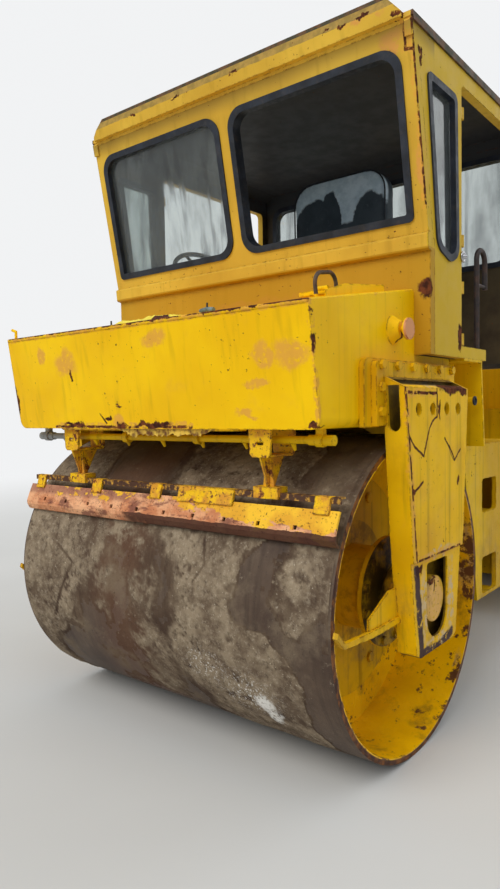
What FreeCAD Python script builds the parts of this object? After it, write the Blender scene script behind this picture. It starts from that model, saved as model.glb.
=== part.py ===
import FreeCAD, Part
import math
import os
from FreeCAD import Vector

# Articulated road roller with two steel drums: +X forward, +Y to its left, +Z up, ground at Z 0.
# The origin is on the ground below the steering pin, and sizes are in millimetres.

# Drums and their axles
wheelbase = 3600.0
axle_x = wheelbase / 2
drum_radius = 700.0
drum_half = 955.0
shell_thick = 25.0
web_recess = 343.0
web_face_y = drum_half - web_recess
web_thick = 22.0
web_reach = 345.0
web_hole_radius = drum_radius - shell_thick - web_reach
rim_depth = 164.0
disc_radius = drum_radius - shell_thick - rim_depth
disc_thick = 20.0
hub_radius = 190.0
flange_radius = 245.0
flange_thick = 22.0
shaft_radius = 60.0
run_gap = 0.05
shaft_gap = 0.6
small_gap = 0.3
bolt_head = 34.0
bolt_height = 20.0
nut_height = 12.0
hub_bolt_circle = flange_radius - 27
disc_bolt_circle = disc_radius - 91
disc_bolt_head = 46.0

# Drum legs stand outside the drum, and their flange plates set the width of the frame
leg_gap = 10.0
leg_depth = 97.0
leg_inner_y = drum_half + leg_gap
leg_outer_y = leg_inner_y + leg_depth
leg_wall = 16.0
cover_thick = 12.0
base_plate_thick = 24.0
flange_plate_thick = 24.0
flange_lap = 7.0
frame_half = leg_inner_y + flange_lap - flange_plate_thick - base_plate_thick
hub_setback = 165.0
cap_setback = 27.0
cap_wall = 20.0
hub_end_y = leg_inner_y - hub_setback
cap_end_y = leg_outer_y - cap_setback
shaft_end_y = cap_end_y - cap_wall
carrier_radius = 150.0
carrier_gap = 20.0
carrier_flange_radius = 210.0
carrier_flange_thick = 26.0
carrier_bolt_circle = 180.0
cap_radius = 98.0

# Levels of the frame follow the drum
drum_headroom = 43.0
beam_height = 304.0
rear_beam_height = 57.0
plate_reach_down = 215.0
plate_drop = 125.0
belly_lift = 35.0
swivel_rise = 55.0
under_z = 2 * drum_radius + drum_headroom
deck_z = under_z + beam_height
rear_deck_z = under_z + rear_beam_height
plate_low_z = drum_radius - plate_reach_down
plate_top_z = under_z - plate_drop
belly_z = plate_low_z + belly_lift
swivel_z = drum_radius + swivel_rise

# Half widths of the leg, along the machine, at its foot, knee, waist and top
leg_reach_down = 210.0
leg_rise = 202.0
leg_slope = 48.0
knee_rise = 20.0
waist_rise = 300.0
foot_half = 165.0
knee_half = 200.0
waist_half = 265.0
head_half = 322.0
leg_low_z = drum_radius - leg_reach_down
leg_top_z = under_z + leg_rise
leg_table = (
    (leg_low_z, foot_half),
    (leg_low_z + knee_rise, knee_half),
    (drum_radius + waist_rise, waist_half),
    (leg_top_z, head_half),
)
cover_rise = 195.0
cover_low_z = drum_radius + cover_rise
slot_half = 105.0
slot_drop = 160.0
slot_rise = 170.0
slot_low_z = drum_radius - slot_drop
slot_top_z = drum_radius + slot_rise
mouth_rise = 7.0
mouth_low_z = under_z + mouth_rise
notch_radius = 26.0
lift_hole_radius = 26.0
lift_hole_rise = 67.0
lift_hole_z = under_z + lift_hole_rise
lift_hole_offsets = (200.0, 66.0, -78.0, -200.0)
base_plate_half = 434.0
base_plate_height = 269.0
flange_plate_half = 380.0
flange_plate_height = 257.0
base_plate_top_z = under_z + base_plate_height
flange_plate_top_z = under_z + flange_plate_height
flange_bolt_margin = 34.0
flange_bolt_drop = 14.0
flange_bolt_pitch = (2 * flange_plate_half - 82) / 5
flange_bolt_columns = (flange_plate_top_z - 100, flange_plate_top_z - 195)
flange_bolt_head = 36.0

# Guard bar in front of the leg's foot: corners from the axle, along X and up, then its gusset
guard_bar = ((190, -60), (446, -62), (655, -47), (706, 3), (699, 23), (651, -28), (464, -36), (190, -34))
guard_gusset = ((190, -60), (462, -50), (459, 9), (292, 85), (190, 85))
guard_thick = 20.0
gusset_thick = 10.0

# Frame halves
plate_thick = 24.0
joint_gap_x = 300.0
bulkhead_x = 480.0
bulkhead_thick = 30.0
belly_thick = 20.0
cross_wall_thick = 20.0
deck_plate_thick = 16.0
deck_lap = 170.0
end_wall_gap = 135.0
end_wall_x = axle_x - drum_radius - end_wall_gap
well_depth = 324.0
beam_setback = 64.0
well_half = frame_half - well_depth
beam_half = frame_half - beam_setback
gusset_setback = 45.0
gusset_x = axle_x - drum_radius + gusset_setback
gusset_thick_x = 12.0
gusset_foot_y = frame_half + 90
gusset_hem = 30.0
stub_x = gusset_x + 70
stub_rise = 103.0
stub_radius = 20.0
stub_bore = 14.0
stub_end_y = frame_half + 66
step_depth = 150.0
step_plate_thick = 10.0
step_width = 219.0
step_gap = 177.0
step_front_x = axle_x - drum_radius - step_gap
step_rear_x = step_front_x - step_width
step_first = 19.0
step_second = 461.0
step_low_height = 199.0
step_high_height = 183.0
step_heights = (
    (plate_low_z + step_first, plate_low_z + step_first + step_low_height),
    (plate_low_z + step_second, plate_low_z + step_second + step_high_height),
)
drum_clearance = 40.0

# Hitch: vertical steering pin, horizontal swivel, two steering cylinders
pin_radius = 45.0
lug_radius = 108.0
lug_thick = 50.0
lug_spread = 300.0
knuckle_half = 140.0
knuckle_low_z = swivel_z - knuckle_half
knuckle_top_z = swivel_z + knuckle_half
knuckle_gap = 5.0
knuckle_radius = 90.0
swivel_radius = 90.0
swivel_length = 190.0
swivel_flange_radius = 210.0
swivel_housing = 55.0
ear_radius = 210.0
ear_angle = 125.0
ear_thick = 25.0
ear_half = 44.0
eye_thick = 56.0
eye_gap = 5.0
eye_radius = 38.0
barrel_pin_x = 400.0
barrel_pin_y = 270.0
barrel_radius = 44.0
barrel_length = 320.0
barrel_neck = 50.0
gland_length = 34.0
rod_radius = 20.0
rod_reach = 360.0
cylinder_pin_radius = 22.0
pin_head = 14.0

# Water tanks: corners of the side view from the axle and the frame's underside
tank_back = -53.0
tank_overhang = 5.0
tank_flare = 66.0
tank_front_height = 447.0
tank_back_height = 581.0
tank_low_front = drum_radius + tank_overhang
tank_top_front_x = tank_low_front + tank_flare
tank_top_front_z = under_z + tank_front_height
tank_top_back_z = under_z + tank_back_height
tank_corner = 42.0
lip_radius = 9.0
drip_lips = ((-480.0, -120.0), (60.0, 540.0))
filler_x = 330.0
filler_inset = 224.0
filler_y = frame_half - filler_inset
filler_radius = 95.0
neck_height = 26.0
lid_plate_thick = 16.0
hinge_radius = 9.0
hinge_reach = 22.0
hinge_x = -filler_radius - hinge_reach
hinge_z = neck_height + small_gap + lid_plate_thick / 2
tongue_half = 11.5
ear_outer = 30.0
handle_x = 455.0
handle_inset = 124.0
handle_y = frame_half - handle_inset
handle_half = 76.0
handle_rise = 58.0
handle_bow = 46.0
handle_radius = 8.0
screen_x = 365.0
screen_inset = 44.0
screen_thick = 5.0
screen_corners = ((-229, 0), (229, 0), (229, 33), (85, 51), (-229, 36))
socket_x = 147.0
socket_rise = 395.0
socket_z = under_z + socket_rise

# Scraper: its blade's tip stands off the drum at an angle above the axle, and what follows is from that tip
blade_angle = 26.0
blade_gap = 10.0
tip_x = (drum_radius + blade_gap) * math.cos(math.radians(blade_angle))
tip_z = (drum_radius + blade_gap) * math.sin(math.radians(blade_angle))
scraper_outer = ((-8, 135), (14, 89), (30, 49), (30, 32), (17, 7), (0, 0))
scraper_inner = ((-3, 10), (9, 16), (19, 35), (19, 48), (4, 85), (-18, 131))
scraper_rail = ((-50, 177), (-50, 183), (-16, 183), (-16, 159), (-23, 159), (-23, 177))
scraper_clip = ((-24, 184), (-13, 184), (0, 137), (8, 120), (-1, 116), (-10, 135))
clip_table = (
    (-drum_half + 87, 33.0),
    (-drum_half + 543, 35.0),
    (0.0, 33.0),
    (drum_half - 657, 156.0),
    (drum_half - 75, 34.0),
)
hole_first_y = -drum_half + 153
hole_count = 10
hole_pitch = (2 * drum_half - 331) / (hole_count - 1)
hole_half = 8.5
hole_rise = 56.0
hanger_table = (drum_half - 335, -drum_half + 395)
hanger_half = 56.0
hanger_drop = 110.0
hanger_front = tip_x + 27
hanger_rear = hanger_front - 165
strap_thick = 10.0
clamp_half = 60.0

# Spray bar between the hangers' straps
spray_offset = hanger_front - 75
spray_drop = 43.0
spray_z = under_z - spray_drop
spray_radius = 15.0
spray_cap_radius = 20.0
spray_cap_length = 110.0
spray_half = frame_half - 12
nozzle_count = 7
nozzle_pitch = spray_half / 3.8

# Cab
cab_overhang = 76.0
cab_half = frame_half + cab_overhang
cab_rear_x = 280.0
wall_low_x = axle_x + tank_back
wall_thick = 44.0
bead_height = 494.0
bead_z = deck_z + bead_height
bead_step = 14.0
wall_lean = 0.188
wall_height = 1325.0
wall_top_z = deck_z + wall_height
fascia_step = 14.0
fascia_proud = 28.0
fascia_height = 66.0
roof_height = 118.0
roof_fold_z = wall_top_z + fascia_height
roof_top_z = wall_top_z + roof_height
roof_skin = 40.0
roof_lap = 8.0
roof_rim = 34.0
roof_flank = 76.0
roof_shoulder = 42.0
lug_proud = 9.0
lug_drop = 56.0
door_setback = 400.0
rear_post = 90.0
door_header = 72.0
sill_height = 55.0
well_setback = 720.0
door_front_x = axle_x - door_setback
door_rear_x = cab_rear_x + rear_post
door_top_z = wall_top_z - door_header
sill_z = deck_z + sill_height
well_front_x = axle_x - well_setback
floor_thick = 28.0
seal_width = 32.0
seal_lap = 11.0
seal_proud = 8.0
glass_thick = 6.0
tab_rises = (1077.0, 492.0, 275.0, 33.0)
tab_half = 26.0
tab_pin_radius = 9.0

# Windows, measured outside the rubber: each front pane runs from its inner to its outer side
front_windows = ((-58.0, -cab_half + 50), (2.0, cab_half - 58))
pane_radius = 95.0
tight_radius = 26.0
window_rise = 71.0
window_header = 72.0
window_low_z = bead_z + window_rise
window_top_z = wall_top_z - window_header
quarter_drop = 74.0
quarter_top_z = window_top_z - quarter_drop
# Quarter window: corners as x from the drum's axle, z and corner radius
quarter_window = (
    (-18.0, quarter_top_z, 30.0),
    (-336.0, quarter_top_z, 40.0),
    (-357.0, bead_z - 31, 70.0),
    (-264.0, bead_z - 75, 80.0),
    (-118.0, bead_z - 31, 80.0),
)
rear_window_margin = 110.0
rear_window_radius = 90.0
rear_window_rise = 119.0
rear_window_header = 42.0
rear_window_low_z = bead_z + rear_window_rise
rear_window_top_z = wall_top_z - rear_window_header

# Seat, console and grab rails
seat_setback = 760.0
seat_x = axle_x - seat_setback
seat_y = 110.0
seat_half = 330.0
cushion_height = 523.0
cushion_z = deck_z + cushion_height
cushion_thick = 90.0
seat_back_height = 622.0
seat_back_thick = 130.0
seat_round = 140.0
seat_depth = 400.0
pedestal_height = 300.0
console_setback = 260.0
console_height = 500.0
console_x = axle_x - console_setback
console_y = -560.0
console_top_z = deck_z + console_height
console_half = 130.0
column_radius = 22.0
wheel_radius = 190.0
wheel_rise = 85.0
wheel_reach = 75.0
wheel_tilt = 30.0
wheel_bar_radius = 13.0
wheel_hub_radius = 45.0
spoke_count = 3
spoke_radius = 9.0
wheel_z = console_top_z + wheel_rise
rail_setback = 651.0
rail_width = 112.0
rail_long_x = axle_x - rail_setback
rail_short_x = rail_long_x - rail_width
rail_inset_y = 22.0
rail_radius = 13.0
rail_rise = 442.0
rail_short_rise = 308.0
rail_bend_z = sill_z + rail_rise
rail_short_z = sill_z + rail_short_rise

# Engine bay on the rear half
hood_front = 450.0
hood_setback = 62.0
hood_inset = 124.0
hood_height = 630.0
hood_rear = axle_x - hood_setback
hood_half = frame_half - hood_inset
hood_skin = 20.0
hood_top_z = rear_deck_z + hood_height
engine_half = 320.0
engine_gap = 70.0
lid_thick = 36.0
hood_hinge_radius = 12.0
hood_hinge_reach = 14.0
hood_hinge_ys = (-520.0, 520.0)
knuckle_length = 60.0
louvre_gap = 98.0
louvre_banks = 2
louvre_rows = 7
louvre_pitch = 42.0
louvre_height = 20.0
louvre_proud = 18.0
grille_rows = 9
grille_pitch = 48.0
grille_height = 28.0
grille_half = 420.0
exhaust_x = -355.0
exhaust_y = -560.0
exhaust_radius = 46.0
exhaust_bore = 40.0
silencer_radius = 84.0
exhaust_rise = 310.0
exhaust_top_z = hood_top_z + exhaust_rise


def box(x0, x1, y0, y1, z0, z1):
    """Box between two places along each axis; Y may be given in either order."""
    low, high = sorted((y0, y1))
    return Part.makeBox(x1 - x0, high - low, z1 - z0, Vector(x0, low, z0))


def rod(start, end, radius):
    way = Vector(*end) - Vector(*start)
    return Part.makeCylinder(radius, way.Length, Vector(*start), way)


def put(plane, u, v, at):
    places = {"xz": (u, at, v), "yz": (at, u, v), "xy": (u, v, at)}
    return Vector(*places[plane])


def outline(corners, plane, at):
    """Closed wire through corners (u, v) or (u, v, radius), each radius a round corner."""
    flat = []
    for corner in corners:
        flat.append((Vector(corner[0], corner[1], 0), corner[2] if len(corner) > 2 else 0.0))
    ends = []
    for i, (here, radius) in enumerate(flat):
        back = (flat[i - 1][0] - here).normalize()
        ahead = (flat[(i + 1) % len(flat)][0] - here).normalize()
        if radius <= 0:
            ends.append((here, here, here))
            continue
        half = back.getAngle(ahead) / 2
        reach = radius / math.tan(half)
        middle = here + (back + ahead).normalize() * (radius / math.sin(half) - radius)
        ends.append((here + back * reach, middle, here + ahead * reach))
    edges = []
    for i, (first, middle, last) in enumerate(ends):
        bend = [put(plane, p.x, p.y, at) for p in (first, middle, last)]
        if (bend[0] - bend[2]).Length > 1e-6:
            edges.append(Part.Arc(*bend).toShape())
        after = ends[(i + 1) % len(ends)][0]
        start = put(plane, last.x, last.y, at)
        end = put(plane, after.x, after.y, at)
        if (end - start).Length > 1e-6:
            edges.append(Part.makeLine(start, end))
    return Part.Wire(edges)


def slab(corners, plane, low, high):
    """Plate with the given outline, from low to high across its plane."""
    low, high = sorted((low, high))
    face = Part.Face(outline(corners, plane, low))
    depth = high - low
    ways = {"xz": (0, depth, 0), "yz": (depth, 0, 0), "xy": (0, 0, depth)}
    return face.extrude(Vector(*ways[plane]))


def from_axle(corners):
    """Corners given from the front axle, as places in the side view."""
    return [(axle_x + corner[0], drum_radius + corner[1]) for corner in corners]


def from_tip(corners):
    """Corners given from the tip of the front scraper's blade, as places in the side view."""
    return from_axle([(tip_x + corner[0], tip_z + corner[1]) for corner in corners])


def rounded_box(u0, u1, v0, v1, radius):
    return [(u0, v0, radius), (u1, v0, radius), (u1, v1, radius), (u0, v1, radius)]


def turned_profile(points, axle):
    """Solid of revolution about the line along Y at axle; points are (y, radius)."""
    ring = [Vector(axle[0], y, axle[1] + r) for y, r in points]
    face = Part.Face(Part.makePolygon(ring + [ring[0]]))
    return face.revolve(Vector(axle[0], 0, axle[1]), Vector(0, 1, 0), 360)


def joined(shapes):
    whole = shapes[0]
    if len(shapes) > 1:
        whole = whole.fuse(shapes[1:])
    return whole.removeSplitter()


def less(shape, cuts):
    for cut in cuts:
        shape = shape.cut(cut)
    return shape


def to_right(shape):
    """The same piece on the machine's right side."""
    return shape.mirror(Vector(0, 0, 0), Vector(0, 1, 0))


def to_rear(shape):
    """The same piece on the rear half, turned about the steering pin's line."""
    copy = shape.copy()
    copy.rotate(Vector(0, 0, 0), Vector(0, 0, 1), 180)
    return copy


def both_sides(shape):
    return Part.makeCompound([shape, to_right(shape)])


def hexagon(centre, axis, across, height):
    """Hexagon bolt head standing on centre, along axis."""
    radius = across / math.sqrt(3)
    points = []
    for i in range(6):
        angle = math.radians(60 * i)
        points.append(Vector(radius * math.cos(angle), radius * math.sin(angle), 0))
    head = Part.Face(Part.makePolygon(points + [points[0]])).extrude(Vector(0, 0, height))
    head.Placement = FreeCAD.Placement(Vector(*centre), FreeCAD.Rotation(Vector(0, 0, 1), Vector(*axis)))
    return head


def bolt_ring(circle, count, face_y, side, across, height):
    """Bolt heads on a circle about the front axle, standing one millimetre into a face towards side."""
    heads = []
    for i in range(count):
        angle = 2 * math.pi * (i + 0.5) / count
        x = axle_x + circle * math.cos(angle)
        z = drum_radius + circle * math.sin(angle)
        heads.append(hexagon((x, face_y - side, z), (0, side, 0), across, height + 1))
    return heads


def hoop(half, bend, radius):
    """Bar bent over from (-half, 0, 0) to (half, 0, 0), both ends looking down, with two round bends."""
    parts = []
    for side in (-1, 1):
        circle = Part.Face(Part.Wire(Part.makeCircle(radius, Vector(side * half, 0, 0), Vector(0, 0, 1))))
        centre = Vector(side * (half - bend), 0, 0)
        parts.append(circle.revolve(centre, Vector(0, -side, 0), 90))
    if half > bend:
        parts.append(rod((bend - half, 0, bend), (half - bend, 0, bend), radius))
    return parts


# Drums


def drum_shell():
    inner = drum_radius - shell_thick
    centre = (axle_x, drum_radius)
    tube = [(-drum_half, inner), (-drum_half, drum_radius), (drum_half, drum_radius), (drum_half, inner)]
    shapes = [turned_profile(tube, centre)]
    for side in (-1, 1):
        face = side * web_face_y
        back = side * (web_face_y - web_thick)
        web = [(back, web_hole_radius), (back, inner + 1), (face, inner + 1), (face, web_hole_radius)]
        shapes.append(turned_profile(web, centre))
    return joined(shapes)


def drum_hub():
    disc_out = web_face_y + disc_thick
    flange_out = hub_end_y + flange_thick
    half = [
        (web_face_y, disc_radius),
        (disc_out, disc_radius),
        (disc_out, hub_radius),
        (hub_end_y, hub_radius),
        (hub_end_y, flange_radius),
        (flange_out, flange_radius),
        (flange_out, shaft_radius),
        (shaft_end_y, shaft_radius),
    ]
    mirrored = [(-y, r) for y, r in reversed(half)]
    ends = [(shaft_end_y, 0), (-shaft_end_y, 0)]
    waist = [(-web_face_y, hub_radius), (web_face_y, hub_radius)]
    shapes = [turned_profile(half + ends + mirrored + waist, (axle_x, drum_radius))]
    for side in (-1, 1):
        shapes += bolt_ring(disc_bolt_circle, 8, side * disc_out, side, disc_bolt_head, nut_height)
        shapes += bolt_ring(hub_bolt_circle, 12, side * flange_out, side, bolt_head, nut_height)
    return joined(shapes)


def leg_half_width(z):
    """Half width of the leg at height z."""
    for (z0, w0), (z1, w1) in zip(leg_table, leg_table[1:]):
        if z <= z1:
            return w0 + (w1 - w0) * (z - z0) / (z1 - z0)
    return leg_table[-1][1]


def leg_outline(inset_by, low, top):
    bends = [z for z, width in leg_table if low < z < top]
    heights = [low] + bends + [top]
    front = [(axle_x + leg_half_width(z) - inset_by, z) for z in heights]
    back = [(2 * axle_x - x, z) for x, z in reversed(front)]
    return front + back


def slot_corners():
    return [
        (axle_x - slot_half, slot_low_z, slot_half - 1),
        (axle_x + slot_half, slot_low_z, slot_half - 1),
        (axle_x + slot_half, slot_top_z, 15.0),
        (axle_x - slot_half, slot_top_z, 15.0),
    ]


def leg_box():
    """Hollow box of the left leg, its top sloping outwards, its upper front open above a half-round notch."""
    skin_y = leg_outer_y - cover_thick
    inside = (leg_inner_y + leg_wall, skin_y - leg_wall)
    shell = slab(leg_outline(0, leg_low_z, leg_top_z), "xz", leg_inner_y, skin_y)
    cover = slab(leg_outline(0, cover_low_z, leg_top_z), "xz", skin_y, leg_outer_y)
    hollow = slab(leg_outline(leg_wall, leg_low_z + leg_wall, leg_top_z - leg_wall), "xz", *inside)
    front = axle_x + leg_half_width(leg_top_z)
    mouth = box(front - 90, front + 10, inside[0], inside[1], mouth_low_z, leg_top_z - 40)
    middle = (inside[0] + inside[1]) / 2
    notch = rod((front - 90, middle, mouth_low_z), (front + 10, middle, mouth_low_z), notch_radius)
    over = 60.0
    rise = leg_slope / (leg_outer_y - leg_inner_y)
    slope = slab([(leg_inner_y, leg_top_z), (leg_outer_y + over, leg_top_z - leg_slope - rise * over),
                  (leg_outer_y + over, leg_top_z + over), (leg_inner_y, leg_top_z + over)], "yz",
                 axle_x - 2 * base_plate_half, axle_x + 2 * base_plate_half)
    slot = slab(slot_corners(), "xz", inside[0], leg_outer_y + 10)
    nose = rod((axle_x, leg_inner_y - 5, drum_radius), (axle_x, cap_end_y, drum_radius), cap_radius)
    cuts = [hollow, mouth, notch, slope, slot, nose]
    for offset in lift_hole_offsets:
        cuts.append(rod((axle_x + offset, skin_y - 20, lift_hole_z),
                        (axle_x + offset, leg_outer_y + 10, lift_hole_z), lift_hole_radius))
    return less(joined([shell, cover]), cuts)


def leg_guard():
    """Bent bar in front of the left leg's foot, its tip turned up, with a gusset to the leg."""
    bar = slab(from_axle(guard_bar), "xz", leg_inner_y, leg_inner_y + guard_thick)
    gusset = slab(from_axle(guard_gusset), "xz", leg_inner_y, leg_inner_y + gusset_thick)
    filled = slab(leg_outline(0, leg_low_z, leg_top_z), "xz", leg_inner_y - 5, leg_outer_y)
    return joined([bar, gusset]).cut(filled)


def drum_leg():
    """Left leg of the front drum with its two flange plates, their bolts and the guard."""
    base_y = frame_half + base_plate_thick
    face_y = base_y + flange_plate_thick
    base = slab([(axle_x - base_plate_half, under_z), (axle_x + base_plate_half, under_z),
                 (axle_x + base_plate_half, base_plate_top_z, 40.0),
                 (axle_x - base_plate_half, base_plate_top_z, 40.0)], "xz", frame_half, base_y)
    face = slab([(axle_x - flange_plate_half, under_z + 5), (axle_x + flange_plate_half, under_z + 5),
                 (axle_x + flange_plate_half, flange_plate_top_z, 20.0),
                 (axle_x - flange_plate_half, flange_plate_top_z, 20.0)], "xz", base_y, face_y)
    # Bolts of the flange: six along the top, two in each outer column
    spots = [(flange_bolt_pitch * (2.5 - i), flange_plate_top_z - flange_bolt_drop) for i in range(6)]
    for side in (-1, 1):
        spots += [(side * (flange_plate_half - flange_bolt_margin), z) for z in flange_bolt_columns]
    heads = []
    for offset, z in spots:
        heads.append(hexagon((axle_x + offset, face_y - 1, z), (0, 1, 0), flange_bolt_head, nut_height + 4))
    return joined([leg_box(), base, face, leg_guard()] + heads)


def bearing_carrier():
    """Fixed bearing of the left end of the front drum's shaft, its cap standing in the leg's slot."""
    start = hub_end_y + flange_thick + nut_height + carrier_gap
    bore = shaft_radius + shaft_gap
    seat_y = leg_inner_y - carrier_flange_thick
    points = [
        (start, bore),
        (start, carrier_radius - 20),
        (start + 20, carrier_radius),
        (seat_y, carrier_radius),
        (seat_y, carrier_flange_radius),
        (leg_inner_y, carrier_flange_radius),
        (leg_inner_y, cap_radius),
        (cap_end_y, cap_radius),
        (cap_end_y, 0),
        (shaft_end_y + 2, 0),
        (shaft_end_y + 2, bore),
    ]
    body = turned_profile(points, (axle_x, drum_radius))
    return joined([body] + bolt_ring(carrier_bolt_circle, 8, seat_y, -1, bolt_head, bolt_height))


# Scraper and spray bar hang from the tank's underside


def hanger(y):
    """Two straps with a bottom plate, a rib and a web below, and the clamp that holds the rail."""
    low = under_z - hanger_drop
    front = axle_x + hanger_front
    rear = axle_x + hanger_rear
    half = hanger_half
    strap = [(y - half, under_z), (y + half, under_z), (y + half - 6, low, 22.0), (y - half + 6, low, 22.0)]
    slot_z = low + hanger_drop / 2
    hole = rounded_box(y - 18, y + 18, slot_z - 7, slot_z + 7, 6.9)
    shapes = []
    for x in (rear, front - strap_thick):
        plate = slab(strap, "yz", x, x + strap_thick)
        shapes.append(plate.cut(slab(hole, "yz", x - 5, x + strap_thick + 5)))
    shapes.append(box(rear, front, y - half + 16, y + half - 16, low, low + strap_thick))
    back_x, rail_z = from_tip(scraper_rail)[1]
    rail_x = from_tip(scraper_rail)[2][0]
    rib = [(y - 8, low + 1), (y + 8, low + 1), (y + 28, rail_z + 20), (y - 28, rail_z + 20)]
    shapes.append(slab(rib, "yz", rail_x - 20, rail_x - 10))
    web = [(rear + 10, low + 1), (front, low + 1), (rail_x - 5, rail_z + 20), (back_x - 10, rail_z + 20)]
    shapes.append(slab(web, "xz", y - 5, y + 5))
    shapes.append(box(back_x - 20, rail_x + 12, y - clamp_half, y + clamp_half, rail_z - 1, rail_z + 22))
    shapes.append(box(rail_x - 1, rail_x + 12, y - clamp_half, y + clamp_half, rail_z - 24, rail_z))
    return shapes


def scraper():
    """Bent scraper beam with its row of holes, hung by clips from a rail below two hangers."""
    beam = slab(from_tip(scraper_outer + scraper_inner), "xz", -drum_half, drum_half)
    face, hole_z = from_tip([(scraper_outer[2][0], hole_rise)])[0]
    holes = []
    for i in range(hole_count):
        y = hole_first_y + hole_pitch * i
        holes.append(box(face - 40, face + 10, y - hole_half, y + hole_half, hole_z, hole_z + 2 * hole_half))
    shapes = [less(beam, holes)]
    shapes.append(slab(from_tip(scraper_rail), "xz", -drum_half + 25, drum_half))
    for y, half in clip_table:
        shapes.append(slab(from_tip(scraper_clip), "xz", y - half, y + half))
    for y in hanger_table:
        shapes += hanger(y)
    return joined(shapes)


def spray_bar():
    """Pipe with nozzles along the drum, hung by four clamps from the tank."""
    x = axle_x + spray_offset
    shapes = [rod((x, -spray_half, spray_z), (x, spray_half, spray_z), spray_radius)]
    for side in (-1, 1):
        cap_y = side * (spray_half - spray_cap_length)
        shapes.append(rod((x, cap_y, spray_z), (x, side * spray_half, spray_z), spray_cap_radius))
        for y in (side * (spray_half - 60), side * spray_half / 4):
            shapes.append(box(x - 12, x + 12, y - 16, y + 16, spray_z, under_z))
            shapes.append(rod((x, y - 16, spray_z), (x, y + 16, spray_z), spray_cap_radius + 6))
    for i in range(nozzle_count):
        y = nozzle_pitch * (i - (nozzle_count - 1) / 2)
        shapes.append(Part.makeCone(12.0, 6.0, 34.0, Vector(x - 6, y, spray_z - 10), Vector(-0.5, 0, -1)))
    return joined(shapes)


# Frame halves


def side_plate():
    """Left side plate between drum and hitch, its front edge curved round the drum, with two step holes."""
    inner = frame_half - plate_thick
    tip = Vector(axle_x - drum_radius - 105, inner, plate_low_z)
    bend = Vector(axle_x - drum_radius - 46, inner, drum_radius + 68)
    upper = Vector(gusset_x + 5, inner, drum_radius + 400)
    corners = [upper, Vector(gusset_x + 35, inner, plate_top_z), Vector(joint_gap_x, inner, plate_top_z),
               Vector(joint_gap_x, inner, plate_low_z), tip]
    edges = [Part.Arc(tip, bend, upper).toShape()]
    for a, b in zip(corners, corners[1:]):
        edges.append(Part.makeLine(a, b))
    plate = Part.Face(Part.Wire(edges)).extrude(Vector(0, plate_thick, 0))
    treads = []
    back_y = inner - step_depth
    x0, x1 = step_rear_x - 5, step_front_x + 5
    for low, high in step_heights:
        hole = rounded_box(step_rear_x, step_front_x, low, high, 22.0)
        plate = plate.cut(slab(hole, "xz", inner - 5, frame_half + 5))
        floor_z = low - 6
        treads.append(box(x0, x1, back_y, inner + 1, floor_z - step_plate_thick, floor_z))
        treads.append(box(x0, x1, back_y, back_y + step_plate_thick, floor_z - 1, high + 10))
    return joined([plate] + treads)


def drum_room():
    """Room that the front drum turns in."""
    reach = leg_outer_y + 40
    return rod((axle_x, -reach, drum_radius), (axle_x, reach, drum_radius), drum_radius + drum_clearance)


def lower_walls(front_x, front_thick, top_z):
    """Cross walls, belly and lower deck between the side plates of one half."""
    inner = frame_half - plate_thick
    belly_half = inner - step_depth
    shapes = []
    shapes.append(box(front_x, front_x + front_thick, -inner, inner, belly_z, top_z))
    shapes.append(box(end_wall_x - cross_wall_thick, end_wall_x, -inner, inner, belly_z, top_z))
    shapes.append(box(front_x, end_wall_x, -belly_half, belly_half, belly_z, belly_z + belly_thick))
    return shapes


def clevis():
    """Two lugs that hold the steering pin from above and below, and the cylinders' brackets."""
    shapes = []
    for low in (knuckle_low_z - knuckle_gap - lug_thick, knuckle_top_z + knuckle_gap):
        nose = Part.makeCylinder(lug_radius, lug_thick, Vector(0, 0, low))
        corners = [(0, -lug_radius), (bulkhead_x, -lug_spread), (bulkhead_x, lug_spread), (0, lug_radius)]
        arm = slab(corners, "xy", low, low + lug_thick)
        bore = Part.makeCylinder(pin_radius + run_gap, lug_thick + 20, Vector(0, 0, low - 10))
        shapes.append(joined([nose, arm]).cut(bore))
    half_eye = eye_thick / 2
    for y in (barrel_pin_y, -barrel_pin_y):
        for low in (swivel_z - half_eye - small_gap - ear_thick, swivel_z + half_eye + small_gap):
            shapes.append(slab([(barrel_pin_x, y - ear_half, 30), (bulkhead_x, y - 60), (bulkhead_x, y + 60),
                                (barrel_pin_x, y + ear_half, 30)], "xy", low, low + ear_thick))
            shapes.append(Part.makeCylinder(ear_half, ear_thick, Vector(barrel_pin_x, y, low)))
        half_pin = half_eye + ear_thick + 10
        shapes.append(rod((barrel_pin_x, y, swivel_z - half_pin), (barrel_pin_x, y, swivel_z + half_pin),
                          cylinder_pin_radius))
    return shapes


def front_lower_frame():
    inner = frame_half - plate_thick
    shapes = lower_walls(bulkhead_x, bulkhead_thick, plate_top_z)
    deck_low_z = plate_top_z - deck_plate_thick
    shapes.append(box(joint_gap_x, end_wall_x + deck_lap, -inner, inner, deck_low_z, plate_top_z))
    return joined(shapes + clevis()).cut(drum_room())


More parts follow.
